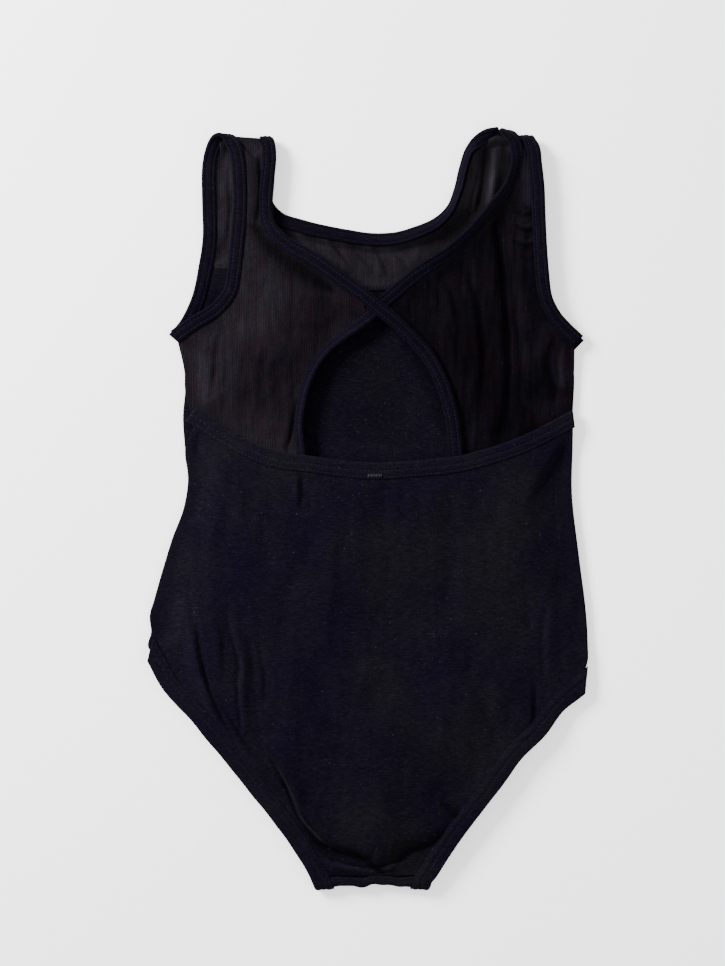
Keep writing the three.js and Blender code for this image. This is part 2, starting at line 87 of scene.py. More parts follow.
def smoothLine(points, steps=14):
    # centripetal curve through the points; a fourth value eases from one point to the next
    pts = np.array(points, float)
    place = pts[:, :3]
    ends = np.vstack([2 * place[0] - place[1], place, 2 * place[-1] - place[-2]])
    knots = np.maximum(np.linalg.norm(np.diff(ends, axis=0), axis=1) ** 0.5, 1e-4)
    t = np.linspace(0, 1, steps, endpoint=False)[:, None]
    out = []
    for k in range(len(place) - 1):
        p0, p1, p2, p3 = ends[k:k + 4]
        d0, d1, d2 = knots[k:k + 3]
        m1 = d1 * ((p1 - p0) / d0 - (p2 - p0) / (d0 + d1) + (p2 - p1) / d1)
        m2 = d1 * ((p2 - p1) / d1 - (p3 - p1) / (d1 + d2) + (p3 - p2) / d2)
        curve = (2 * t ** 3 - 3 * t ** 2 + 1) * p1 + (t ** 3 - 2 * t ** 2 + t) * m1
        curve = curve + (3 * t ** 2 - 2 * t ** 3) * p2 + (t ** 3 - t ** 2) * m2
        if pts.shape[1] > 3:
            curve = np.hstack([curve, pts[k, 3:] + t * t * (3 - 2 * t) * (pts[k + 1, 3:] - pts[k, 3:])])
        out.append(curve)
    out.append(pts[-1:])
    return np.vstack(out)


def lengthsOf(line):
    return np.concatenate([[0], np.cumsum(np.linalg.norm(np.diff(line[:, :3], axis=0), axis=1))])


def along(line, distances):
    lengths = lengthsOf(line)
    return np.stack([np.interp(distances, lengths, line[:, k]) for k in range(line.shape[1])], axis=1)


def unit(v):
    return v / np.maximum(np.linalg.norm(v, axis=-1, keepdims=True), 1e-9)


def level(points, z, face):
    return [(x, y, z, face) for x, y in points]


def raised(points, z):
    return [(x, y, z) for x, y in points]


def smoothStep(x, low, high):
    t = np.clip((x - low) / (high - low), 0, 1)
    return t * t * (3 - 2 * t)


# A band's frames: where its middle runs, which way its upper face looks, and the side the cloth is on
# tilt turns the band about its own line, in degrees, at shares of its length
def bandFrames(route, turn, hand, width, ends=((0, 0), (0, 0)), tilt=((0, 0), (1, 0)), step=1.6, steps=14):
    line = smoothLine(route, steps)
    lengths = lengthsOf(line)
    count = int(round(lengths[-1] / step))
    spots = np.linspace(0, lengths[-1], count + 1)
    line = np.stack([np.interp(spots, lengths, line[:, k]) for k in range(4)], axis=1)
    place = line[:, :3].copy()
    tangent = unit(np.gradient(place, axis=0))
    roll = (line[:, 3] + 1) * math.pi / 2
    outward = np.stack([np.zeros(len(roll)), turn * np.sin(roll), -np.cos(roll)], axis=1)
    outward = unit(outward - tangent * np.sum(outward * tangent, axis=1, keepdims=True))
    inward = np.cross(outward, tangent) * hand
    shares, angles = zip(*tilt)
    angle = np.radians(np.interp(spots / lengths[-1], shares, angles))[:, None]
    inward, outward = (inward * np.cos(angle) - outward * np.sin(angle),
                       outward * np.cos(angle) + inward * np.sin(angle))
    place[:, 2] = np.maximum(place[:, 2], layers["floorBand"] + np.abs(inward[:, 2]) * width / 2)
    marks = np.interp(lengths[::steps], spots, np.arange(count + 1))
    return {"place": place, "outward": outward, "inward": inward, "tangent": tangent, "marks": marks,
            "length": lengths[-1], "width": width, "hand": hand, "ends": ends}


def slotEdge(band, start, end, inset):
    # the line of a panel's edge inside the band, between two points of its route
    marks = np.arange(len(band["marks"]))
    first, last = (np.interp(k, marks, band["marks"]) for k in (start, end))
    count = max(2, int(abs(last - first)) + 1)
    spots = np.linspace(first, last, count)
    line = band["place"] + band["inward"] * inset
    return np.stack([np.interp(spots, np.arange(len(line)), line[:, k]) for k in range(3)], axis=1)


def bandPoint(band, at, inset, z):
    point = slotEdge(band, at, at, inset)[0].copy()
    point[2] = z
    return point


def makeObject(name, verts, faces, material, uv=None, paintedShading=None):
    shift = np.array(patternShift)
    mesh = bpy.data.meshes.new(name)
    mesh.from_pydata(((np.asarray(verts) + shift) / 1000).tolist(), [], faces)
    if uv is not None:
        layer = mesh.uv_layers.new(name="cloth")
        loops = np.empty(len(mesh.loops), np.int32)
        mesh.loops.foreach_get("vertex_index", loops)
        layer.data.foreach_set("uv", np.asarray(uv, np.float32)[loops].ravel())
    if paintedShading is not None:
        # painted shade and painted highlights, kept per point for the material to multiply into the colour
        mesh.attributes.new("paintedShading", "FLOAT", "POINT").data.foreach_set("value", np.asarray(paintedShading, np.float32))
    mesh.polygons.foreach_set("use_smooth", [True] * len(mesh.polygons))
    mesh.materials.append(material)
    mesh.validate()
    piece = bpy.data.objects.new(name, mesh)
    bpy.context.scene.collection.objects.link(piece)
    return piece


def gridNormals(grid):
    a = np.gradient(grid, axis=1)
    b = np.gradient(grid, axis=0)
    return unit(np.cross(a, b))


# A closed sheet: a grid through the middle of the cloth, given its thickness
def clothMesh(name, grid, thickness, material, uv, paintedShading=None):
    rows, columns = grid.shape[:2]
    normal = gridNormals(grid)
    layer = rows * columns
    upper = (grid + normal * thickness / 2).reshape(-1, 3)
    lower = (grid - normal * thickness / 2).reshape(-1, 3)
    k = np.arange(layer).reshape(rows, columns)
    quads = np.stack([k[:-1, :-1], k[:-1, 1:], k[1:, 1:], k[1:, :-1]], axis=-1).reshape(-1, 4)
    rim = np.concatenate([k[0, :-1], k[:-1, -1], k[-1, :0:-1], k[:0:-1, 0]])
    nextRim = np.roll(rim, -1)
    side = np.stack([rim, rim + layer, nextRim + layer, nextRim], axis=1)
    faces = np.vstack([quads, quads[:, ::-1] + layer, side]).tolist()
    flatUv = uv.reshape(-1, 2)
    if paintedShading is not None:
        paintedShading = np.tile(paintedShading.ravel(), 2)
    return makeObject(name, np.vstack([upper, lower]), faces, material, np.vstack([flatUv, flatUv]), paintedShading)


def gridUv(grid):
    # millimetres over the cloth, so that ribs and stitches keep their size
    acrossStep = np.linalg.norm(np.diff(grid, axis=1), axis=2)
    downStep = np.linalg.norm(np.diff(grid, axis=0), axis=2)
    u = np.concatenate([np.zeros((grid.shape[0], 1)), np.cumsum(acrossStep, axis=1)], axis=1)
    v = np.concatenate([np.zeros((1, grid.shape[1])), np.cumsum(downStep, axis=0)], axis=0)
    return np.stack([u, v], axis=-1)


# How high the folded strip's face stands over its middle, by the distance from the fold
def faceHeight(fromFold, width, look):
    radius = look["radius"]
    height = radius + look["puff"] * np.sin(math.pi * np.clip(fromFold / width, 0, 1)) ** 0.7
    for row in look["rows"]:
        height = height - look["groove"] * np.exp(-((fromFold - row) / 0.6) ** 2)
    return height - look["mouthDrop"] * radius * smoothStep(fromFold, width - look["mouthSoft"], width)


# The folded strip's section: across from the mouth, round the fold and back
def foldSection(width, look):
    radius = look["radius"]
    flatEnd = -width / 2 + radius
    across = np.linspace(width / 2, flatEnd, 19)
    height = faceHeight(across + width / 2, width, look)
    turn = np.linspace(90, 270, 9)[1:-1] * math.pi / 180
    fold = np.stack([flatEnd + radius * np.cos(turn), radius * np.sin(turn)], axis=1)
    top = np.stack([across, height], axis=1)
    return np.vstack([top, fold, np.stack([across[::-1], -height[::-1]], axis=1)])


def stripGive(spot, look):
    # the cloth between the stitches gives a little, and the fold wanders
    give = 1 + look["give"] * noise.noise(Vector((spot * 0.11, look["seed"], 0)))
    wander = look["edgeWave"] * noise.noise(Vector((spot * 0.045, look["seed"] + 7, 3)))
    return give, wander


def mitre(band, spot, fromFold):
    # the strip's ends are cut along the side seam, not square
    push = 0
    for distance, (shift, slope), sign in zip((spot, band["length"] - spot), band["ends"], (-1, 1)):
        fade = max(0, 1 - distance / 24) ** 1.5
        push = push + sign * fade * (shift + slope * fromFold)
    return push


def foldedStrip(name, band, look, material):
    width = band["width"]
    section = foldSection(width, look)
    lengths = lengthsOf(band["place"])
    grid = np.empty((len(lengths), len(section), 3))
    nearFold = smoothStep(-section[:, :1], -1, width / 2)
    for k, spot in enumerate(lengths):
        give, wander = stripGive(spot, look)
        push = mitre(band, spot, section[:, :1] + width / 2)
        grid[k] = (band["place"][k] + band["inward"][k] * (section[:, :1] + wander * nearFold)
                   + band["outward"][k] * section[:, 1:] * give + band["tangent"][k] * push)
    if band["hand"] > 0:
        grid = grid[:, ::-1]
    return clothMesh(name, grid, look["thickness"], material, gridUv(grid))


def tapeStrip(name, band, start, width, thickness, material, trim=3):
    # a flat elastic that lies inside a fold, ribbed across
    lengths = lengthsOf(band["place"])
    inner = slice(trim, len(lengths) - trim)
    across = np.linspace(start, start + width, 5)
    place = band["place"][inner, None] + band["inward"][inner, None] * across[None, :, None]
    wave = 0.06 * np.sin(lengths[inner] * 2.4)[:, None, None]
    grid = place + band["outward"][inner, None] * wave
    return clothMesh(name, grid, thickness, material, gridUv(grid))


# Short round threads from point to point, all in one mesh
def threadMesh(name, starts, ends, bow, radius, material, sides=6):
    starts, ends, bow = (np.asarray(a, float) for a in (starts, ends, bow))
    axis = unit(ends - starts)
    up = unit(bow - axis * np.sum(bow * axis, axis=1, keepdims=True))
    side = np.cross(axis, up)
    spots = [(0.0, 0.35, -0.6), (0.16, 0.9, -0.05), (0.5, 1.0, 0.25), (0.84, 0.9, -0.05), (1.0, 0.35, -0.6)]
    verts = []
    for share, thick, lift in spots:
        centre = starts + (ends - starts) * share + up * lift * radius
        for k in range(sides):
            angle = 2 * math.pi * k / sides
            verts.append(centre + (up * math.cos(angle) * 0.8 + side * math.sin(angle)) * radius * thick)
    rings = len(spots)
    verts = np.stack(verts, axis=1).reshape(-1, 3)
    pattern = []
    for r in range(rings - 1):
        for k in range(sides):
            a, b = r * sides + k, r * sides + (k + 1) % sides
            pattern.append((a, b, b + sides, a + sides))
    pattern.append(tuple(range(sides - 1, -1, -1)))
    pattern.append(tuple((rings - 1) * sides + k for k in range(sides)))
    faces = []
    for n in range(len(starts)):
        base = n * rings * sides
        faces.extend(tuple(base + i for i in face) for face in pattern)
    return makeObject(name, verts, faces, material)


def coverstitch(name, band, look, material, face=1):
    # two needle rows on one face, and the looper's zigzag on the other
    lengths = lengthsOf(band["place"])
    width = band["width"]
    starts, ends, bows = [], [], []

    def spot(distance, fromFold, side):
        k = min(max(distance, 0), lengths[-1])
        keys = ("place", "inward", "outward", "tangent")
        at = [np.interp(k, lengths, band[key][:, c]) for key in keys for c in range(3)]
        place, inward, outward, tangent = (np.array(at[i:i + 3]) for i in (0, 3, 6, 9))
        give, wander = stripGive(k, look)
        lift = faceHeight(fromFold, width, look) * give + look["thickness"] / 2 + look["thread"] * 0.4
        wander = wander * smoothStep(width / 2 - fromFold, -1, width / 2)
        point = place + inward * (fromFold - width / 2 + wander) + outward * side * lift
        return point + tangent * mitre(band, k, fromFold), outward * side

    pitch = look["pitch"]
    for row in look["rows"]:
        for n in range(int(lengths[-1] / pitch)):
            begin = n * pitch + 0.3
            a, up = spot(begin, row + random.uniform(-0.08, 0.08), face)
            b, up = spot(begin + pitch * 0.72, row + random.uniform(-0.08, 0.08), face)
            starts.append(a)
            ends.append(b)
            bows.append(up)
    low, high = look["rows"]
    for n in range(int(lengths[-1] / pitch)):
        for first, second, offset in ((low, high, 0), (high, low, 0.5)):
            a, up = spot((n + offset) * pitch, first, -face)
            b, up = spot((n + offset + 0.5) * pitch, second, -face)
            starts.append(a)
            ends.append(b)
            bows.append(up)
    return threadMesh(name, starts, ends, bows, look["thread"], material)


# A boundary made of several stretches: parts are (points, share of the edge where the stretch ends)
def chain(*parts):
    stretches = []
    start = 0
    for points, end in parts:
        line = np.array(points, float)
        line = smoothLine(line, 6) if len(line) > 2 else line
        stretches.append((start, end, line, lengthsOf(line)[-1]))
        start = end

    def edge(shares):
        shares = np.atleast_1d(shares)
        out = np.empty((len(shares), 3))
        for first, last, line, length in stretches:
            inside = (shares >= first - 1e-9) & (shares <= last + 1e-9)
            if inside.any():
                out[inside] = along(line, np.clip((shares[inside] - first) / (last - first), 0, 1) * length)
        return out
    return edge


blockSize = 2000  # points handled at once, to keep memory low


# A four-sided panel; its height follows the nearest edge and eases to the crown height inside
def panelGrid(top, bottom, left, right, counts, crown, near, far, wrapFrom=2):
    columns, rows = counts
    u = np.linspace(0, 1, columns)
    v = np.linspace(0, 1, rows)
    topLine, bottomLine, leftLine, rightLine = top(u), bottom(u), left(v), right(v)
    uu, vv = u[None, :, None], v[:, None, None]
    grid = topLine[None] * (1 - vv) + bottomLine[None] * vv + leftLine[:, None] * (1 - uu) + rightLine[:, None] * uu
    grid = grid - topLine[0] * (1 - uu) * (1 - vv) - topLine[-1] * uu * (1 - vv)
    grid = grid - bottomLine[0] * (1 - uu) * vv - bottomLine[-1] * uu * vv
    edgeSamples = 240
    shares = np.linspace(0, 1, edgeSamples)
    edges = np.vstack([side(shares) for side in (top, bottom, left, right)])
    flat = grid.reshape(-1, 3)
    heights = np.empty(len(flat))
    for k in range(0, len(flat), blockSize):
        block = flat[k:k + blockSize]
        gaps = np.hypot(block[:, None, 0] - edges[None, :, 0], block[:, None, 1] - edges[None, :, 1])
        closest = gaps.argmin(axis=1)
        # the few nearest edge points share the height, so that no step shows
        weight = np.exp(-((gaps - gaps.min(axis=1, keepdims=True)) / 2.5) ** 2)
        height = (weight * edges[None, :, 2]).sum(axis=1) / weight.sum(axis=1)
        distance = gaps[np.arange(len(block)), closest]
        blend = smoothStep(distance, near, far)
        exact = smoothStep(distance, 0, 2)
        height = edges[closest, 2] * (1 - exact) + height * exact
        heights[k:k + blockSize] = height * (1 - blend) + crown * blend
    heights = heights.reshape(grid.shape[:2])
    wrap = (v >= wrapFrom)[:, None]
    straight = leftLine[:, None, 2] * (1 - uu[..., 0]) + rightLine[:, None, 2] * uu[..., 0]
    heights = np.where(wrap, straight, heights)
    inner = grid.copy()
    inner[1:-1, 1:-1, 2] = heights[1:-1, 1:-1]
    return inner


# Folds and creases: lines in the plan with a height and a width, a ridge beside its valley
def addFolds(grid, folds, still=6):
    edges = np.vstack([grid[0], grid[-1], grid[:, 0], grid[:, -1]])[:, :2]
    flat = grid.reshape(-1, 3)
    calm = np.empty(len(flat))
    for k in range(0, len(flat), blockSize):
        block = flat[k:k + blockSize, :2]
        calm[k:k + blockSize] = np.hypot(block[:, None, 0] - edges[None, :, 0],
                                    block[:, None, 1] - edges[None, :, 1]).min(axis=1)
    calm = smoothStep(calm, 0.5, still)
    lift = np.zeros(len(flat))
    for points, height, width, lean in folds:
        line = smoothLine([(x, y, 0) for x, y in points], 10)
        lengths = lengthsOf(line)
        delta = flat[:, None, :2] - line[None, :, :2]
        gaps = np.hypot(delta[..., 0], delta[..., 1])
        closest = gaps.argmin(axis=1)
        tangent = unit(np.gradient(line[:, :2], axis=0))
        rows = np.arange(len(flat))
        offset = delta[rows, closest]
        signed = tangent[closest, 0] * offset[:, 1] - tangent[closest, 1] * offset[:, 0]
        share = lengths[closest] / lengths[-1]
        ends = np.sin(math.pi * np.clip(share, 0, 1)) ** 0.6
        gap = gaps[rows, closest]
        # a steep face on one side, a long slope on the other
        sideways = signed * (lean if lean else 1)
        steep = np.where(sideways > 0, 0.55 * width, (2.4 if lean else 1) * width)
        valley = 0.45 * abs(lean) * np.exp(-((sideways - 1.3 * width) / (0.6 * width)) ** 2)
        reach = np.exp(-(np.maximum(gap - np.abs(signed), 0) / width) ** 2)
        lift += height * ends * reach * (np.exp(-(signed / steep) ** 2) - valley)
    grid = grid.copy()
    grid[..., 2] += (lift * calm).reshape(grid.shape[:2])
    return grid


# Painted shade and painted highlights in the cloth's colour: how much darker it is along its creases and other shaded
# places, and lighter where the loss is below zero; lines with a share of the light lost and a width
def paintCreaseShading(grid, shades):
    flat = grid.reshape(-1, 3)
    kept = np.ones(len(flat))
    for points, loss, width in shades:
        line = smoothLine(raised(points, 0), 8)
        lengths = lengthsOf(line)
        gaps = np.hypot(flat[:, None, 0] - line[None, :, 0], flat[:, None, 1] - line[None, :, 1])
        closest = gaps.argmin(axis=1)
        gap = gaps[np.arange(len(flat)), closest]
        taper = 0.35 + 0.65 * np.sin(math.pi * lengths[closest] / lengths[-1]) ** 0.7
        kept *= 1 - loss * np.exp(-(gap / (width * taper)) ** 2)
    return (1 - kept).reshape(grid.shape[:2])


def addRipple(grid, amount, size, seed, stretch=(1, 1), still=12):
    edges = np.vstack([grid[0], grid[-1], grid[:, 0], grid[:, -1]])[:, :2]
    out = grid.copy()
    rows, columns = grid.shape[:2]
    for i in range(rows):
        gaps = np.hypot(grid[i, :, None, 0] - edges[None, :, 0], grid[i, :, None, 1] - edges[None, :, 1]).min(axis=1)
        calm = smoothStep(gaps, 0.5, still)
        for j in range(columns):
            x, y = grid[i, j, 0] / size * stretch[0], grid[i, j, 1] / size * stretch[1]
            out[i, j, 2] += amount * calm[j] * noise.fractal(Vector((x, y, seed)), 0.8, 2.0, 3)
    return out


def newGroup(name, inputs, outputs):
    group = bpy.data.node_groups.new(name, "ShaderNodeTree")
    for label, kind, value in inputs:
        socket = group.interface.new_socket(name=label, in_out="INPUT", socket_type=kind)
        socket.default_value = value
    for label, kind in outputs:
        group.interface.new_socket(name=label, in_out="OUTPUT", socket_type=kind)
    nodes = group.nodes
    return group, nodes, nodes.new("NodeGroupInput"), nodes.new("NodeGroupOutput")


def mathNode(tree, operation, a, b=None, clamp=False):
    node = tree.nodes.new("ShaderNodeMath")
    node.operation = operation
    node.use_clamp = clamp
    for k, value in enumerate((a, b)):
        if value is None:
            continue
        if isinstance(value, (int, float)):
            node.inputs[k].default_value = value
        else:
            tree.links.new(value, node.inputs[k])
    return node.outputs[0]


def times(tree, first, *others):
    for other in others:
        first = mathNode(tree, "MULTIPLY", first, other)
    return first


def rangeNode(tree, value, low, high, newLow, newHigh):
    node = tree.nodes.new("ShaderNodeMapRange")
    tree.links.new(value, node.inputs["Value"])
    for label, number in (("From Min", low), ("From Max", high), ("To Min", newLow), ("To Max", newHigh)):
        node.inputs[label].default_value = number
    return node.outputs["Result"]


def mixColour(tree, share, first, second):
    node = tree.nodes.new("ShaderNodeMix")
    node.data_type = "RGBA"
    if isinstance(share, (int, float)):
        node.inputs["Factor"].default_value = share
    else:
        tree.links.new(share, node.inputs["Factor"])
    for label, value in ((6, first), (7, second)):
        if isinstance(value, tuple):
            node.inputs[label].default_value = value
        else:
            tree.links.new(value, node.inputs[label])
    return node.outputs[2]


def noiseNode(tree, vector, scale, detail=2, roughness=0.5):
    node = tree.nodes.new("ShaderNodeTexNoise")
    tree.links.new(vector, node.inputs["Vector"])
    if isinstance(scale, (int, float)):
        node.inputs["Scale"].default_value = scale
    else:
        tree.links.new(scale, node.inputs["Scale"])
    node.inputs["Detail"].default_value = detail
    node.inputs["Roughness"].default_value = roughness
    return node.outputs[0]


def scaledVector(tree, vector, scale):
    node = tree.nodes.new("ShaderNodeMapping")
    tree.links.new(vector, node.inputs["Vector"])
    node.inputs["Scale"].default_value = scale
    return node.outputs["Vector"]


def buildKnitGroup():
    # fine wales and courses of a knit, over the cloth's own millimetres
    tree, nodes, start, end = newGroup(
        "knitFace",
        [("Cloth", "NodeSocketVector", (0, 0, 0)), ("Wales per mm", "NodeSocketFloat", 1.1),
         ("Courses per mm", "NodeSocketFloat", 1.5)],
        [("Height", "NodeSocketFloat"), ("Shade", "NodeSocketFloat")])
    split = nodes.new("ShaderNodeSeparateXYZ")
    tree.links.new(start.outputs["Cloth"], split.inputs[0])
    wobble = rangeNode(tree, noiseNode(tree, start.outputs["Cloth"], 0.35, 2), 0, 1, -0.5, 0.5)
    turns = 2 * math.pi
    walePhase = times(tree, split.outputs[0], start.outputs["Wales per mm"])
    walePhase = times(tree, mathNode(tree, "ADD", walePhase, wobble), turns)
    coursePhase = times(tree, split.outputs[1], start.outputs["Courses per mm"], turns)
    wale = mathNode(tree, "COSINE", walePhase)
    lean = mathNode(tree, "ADD", coursePhase, times(tree, wale, 1.6))
    course = mathNode(tree, "COSINE", lean)
    height = mathNode(tree, "ADD", times(tree, wale, 0.3), times(tree, course, 0.2))
    height = mathNode(tree, "ADD", height, 0.5)
    tree.links.new(height, end.inputs["Height"])
    shade = rangeNode(tree, height, 0, 1, 0.72, 1.2)
    tree.links.new(shade, end.inputs["Shade"])
    return tree


def buildLintGroup():
    # pale specks, short fibres and soft patches on the face of the cloth: on the jersey a real change of tone, on the
    # mesh painted sheen and shade as well
    tree, nodes, start, end = newGroup(
        "lintPatchesAndPaintedSheen",
        [("Place", "NodeSocketVector", (0, 0, 0)), ("Specks", "NodeSocketFloat", 1.0),
         ("Patches", "NodeSocketFloat", 1.0)],
        [("Speck", "NodeSocketFloat"), ("Patch", "NodeSocketFloat"), ("Fuzz", "NodeSocketFloat"),
         ("Slub", "NodeSocketFloat")])
    cells = nodes.new("ShaderNodeTexVoronoi")
    tree.links.new(start.outputs["Place"], cells.inputs["Vector"])
    cells.inputs["Scale"].default_value = 240
    cells.inputs["Randomness"].default_value = 1
    dot = rangeNode(tree, cells.outputs["Distance"], 0.13, 0.05, 0, 1)
    some = noiseNode(tree, start.outputs["Place"], 210, 1)
    some = rangeNode(tree, some, 0.5, 0.7, 0, 1)
    dot = mathNode(tree, "MULTIPLY", mathNode(tree, "MULTIPLY", dot, some), start.outputs["Specks"], clamp=True)
    fibre = noiseNode(tree, scaledVector(tree, start.outputs["Place"], (380, 1500, 500)), 1, 2)
    fibre = rangeNode(tree, fibre, 0.62, 0.8, 0, 0.7)
    fibre = mathNode(tree, "MULTIPLY", fibre, start.outputs["Specks"], clamp=True)
    speck = mathNode(tree, "MAXIMUM", dot, mathNode(tree, "MULTIPLY", fibre, 0.5))
    # thick and thin yarn shows as short streaks across the cloth
    slub = noiseNode(tree, scaledVector(tree, start.outputs["Place"], (260, 900, 260)), 1, 3, 0.65)
    tree.links.new(rangeNode(tree, slub, 0.3, 0.7, 0, 1), end.inputs["Slub"])
    tree.links.new(speck, end.inputs["Speck"])
    patch = noiseNode(tree, start.outputs["Place"], 16, 4, 0.6)
    patch = rangeNode(tree, patch, 0.35, 0.65, -0.5, 0.5)
    patch = mathNode(tree, "MULTIPLY", patch, start.outputs["Patches"])
    tree.links.new(patch, end.inputs["Patch"])
    fuzz = noiseNode(tree, start.outputs["Place"], 1500, 3, 0.7)
    tree.links.new(fuzz, end.inputs["Fuzz"])
    return tree


knitGroup = buildKnitGroup()
lintGroup = buildLintGroup()


def placeGroup(tree, group, links, values):
    node = tree.nodes.new("ShaderNodeGroup")
    node.node_tree = group
    for label, socket in links.items():
        tree.links.new(socket, node.inputs[label])
    for label, value in values.items():
        node.inputs[label].default_value = value
    return node


def startMaterial(name, roughness, specular, sheen, sheenRoughness, sheenTint):
    material = bpy.data.materials.new(name)
    material.use_nodes = True
    tree = material.node_tree
    shader = tree.nodes["Principled BSDF"]
    shader.inputs["Roughness"].default_value = roughness
    shader.inputs["Specular IOR Level"].default_value = specular
    shader.inputs["Sheen Weight"].default_value = sheen
    shader.inputs["Sheen Roughness"].default_value = sheenRoughness
    shader.inputs["Sheen Tint"].default_value = sheenTint
    coords = tree.nodes.new("ShaderNodeTexCoord")
    return material, tree, shader, coords.outputs["Object"]


def clothVector(tree):
    # millimetres along and across the cloth
    cloth = tree.nodes.new("ShaderNodeUVMap")
    cloth.uv_map = "cloth"
    return cloth.outputs["UV"]


def addBump(tree, shader, height, strength, distance):
    bump = tree.nodes.new("ShaderNodeBump")
    bump.inputs["Strength"].default_value = strength
    bump.inputs["Distance"].default_value = distance
    tree.links.new(height, bump.inputs["Height"])
    tree.links.new(bump.outputs["Normal"], shader.inputs["Normal"])


def scaleColour(tree, colour, factor):
    # the colour made lighter or darker by a factor that changes over the cloth
    node = tree.nodes.new("ShaderNodeVectorMath")
    node.operation = "SCALE"
    if isinstance(colour, tuple):
        node.inputs[0].default_value = colour[:3]
    else:
        tree.links.new(colour, node.inputs[0])
    tree.links.new(factor, node.inputs["Scale"])
    return node.outputs[0]


def paintedShadingFactor(tree):
    # what the painted crease shade leaves of the light; above one where a highlight is painted
    paintedShading = tree.nodes.new("ShaderNodeAttribute")
    paintedShading.attribute_name = "paintedShading"
    return mathNode(tree, "SUBTRACT", 1.0, paintedShading.outputs["Fac"])


def knitMaterial(name, look):
    material, tree, shader, place = startMaterial(
        name, look["roughness"], look["specular"], look["sheen"], 0.5, look["sheenTint"])
    knit = placeGroup(tree, knitGroup, {"Cloth": clothVector(tree)},
                      {"Wales per mm": look["wales"], "Courses per mm": look["courses"]})
    lint = placeGroup(tree, lintGroup, {"Place": place}, {"Specks": look["specks"], "Patches": look["patches"]})
    colour = mixColour(tree, rangeNode(tree, lint.outputs["Patch"], -0.5, 0.5, 0, 1), look["cool"], look["warm"])
    # the colour is darkened by the painted crease shade and lightened by painted highlights, besides the knit, fuzz
    # and slubs
    shade = times(tree, knit.outputs["Shade"], rangeNode(tree, lint.outputs["Fuzz"], 0.25, 0.75, 0.5, 1.6),
                  rangeNode(tree, lint.outputs["Slub"], 0, 1, 0.55, 1.45), paintedShadingFactor(tree))
    colour = scaleColour(tree, colour, shade)
    colour = mixColour(tree, lint.outputs["Speck"], colour, look["lint"])
    tree.links.new(colour, shader.inputs["Base Color"])
    height = mathNode(tree, "ADD", mathNode(tree, "MULTIPLY", knit.outputs["Height"], 0.7),
                      mathNode(tree, "MULTIPLY", lint.outputs["Fuzz"], 0.9))
    addBump(tree, shader, height, look["bump"], 0.0004)
    return material


def meshMaterial(name, look):
    # semi-sheer mesh: upright ribs with rows of small holes between them
    material, tree, shader, place = startMaterial(
        name, look["roughness"], look["specular"], look["sheen"], 0.4, look["sheenTint"])
    split = tree.nodes.new("ShaderNodeSeparateXYZ")
    tree.links.new(place, split.inputs[0])
    waver = rangeNode(tree, noiseNode(tree, place, 22, 2), 0, 1, -0.8, 0.8)
    ribs = mathNode(tree, "MULTIPLY", split.outputs[0], look["ribs"])
    ribs = mathNode(tree, "COSINE", mathNode(tree, "MULTIPLY", mathNode(tree, "ADD", ribs, waver), 2 * math.pi))
    rows = mathNode(tree, "MULTIPLY", split.outputs[1], look["holes"])
    rows = mathNode(tree, "COSINE", mathNode(tree, "MULTIPLY", rows, 2 * math.pi))
    lint = placeGroup(tree, lintGroup, {"Place": place}, {"Specks": look["specks"], "Patches": look["patches"]})
    rib = rangeNode(tree, ribs, -1, 1, 0, 1)
    hole = mathNode(tree, "MULTIPLY", rangeNode(tree, ribs, -0.2, -1, 0, 1), rangeNode(tree, rows, 0, 1, 0, 1))
    # broad darker and lighter patches over the mesh: partly its own tone, partly painted sheen and shade
    colour = mixColour(tree, rangeNode(tree, lint.outputs["Patch"], -0.5, 0.5, 0, 1), look["dark"], look["light"])
    streak = noiseNode(tree, scaledVector(tree, place, (520, 45, 200)), 1, 3, 0.6)
    # the colour is darkened by the painted crease shade and lightened by painted highlights, besides the ribs, fuzz
    # and streaks
    shade = times(tree, rangeNode(tree, rib, 0, 1, look["ribShade"], 1.2),
                  rangeNode(tree, lint.outputs["Fuzz"], 0.25, 0.75, 0.45, 1.6),
                  rangeNode(tree, streak, 0.3, 0.7, 0.78, 1.22), paintedShadingFactor(tree))
    blush = rangeNode(tree, noiseNode(tree, place, 70, 6, 0.8), 0.48, 0.6, 0, 0.75)
    colour = mixColour(tree, blush, colour, look["blush"])
    colour = scaleColour(tree, colour, shade)
    colour = mixColour(tree, lint.outputs["Speck"], colour, look["lint"])
    tree.links.new(colour, shader.inputs["Base Color"])
    alpha = rangeNode(tree, hole, 0, 1, look["solid"], look["open"])
    tree.links.new(alpha, shader.inputs["Alpha"])
    height = mathNode(tree, "ADD", rib, mathNode(tree, "MULTIPLY", lint.outputs["Fuzz"], 0.3))
    addBump(tree, shader, height, look["bump"], 0.0004)
    return material


def threadMaterial(name, colour, roughness, specular):
    material, tree, shader, place = startMaterial(name, roughness, specular, 0.01, 0.4, (1, 1, 1, 1))
    twist = tree.nodes.new("ShaderNodeTexWave")
    twist.bands_direction = "DIAGONAL"
    twist.inputs["Scale"].default_value = 900
    tree.links.new(place, twist.inputs["Vector"])
    grain = noiseNode(tree, place, 2400, 2)
    shade = rangeNode(tree, mathNode(tree, "ADD", twist.outputs["Fac"], grain), 0.4, 1.6, 0.6, 1.5)
    tree.links.new(scaleColour(tree, colour, shade), shader.inputs["Base Color"])
    addBump(tree, shader, twist.outputs["Fac"], 0.5, 0.0001)
    return material


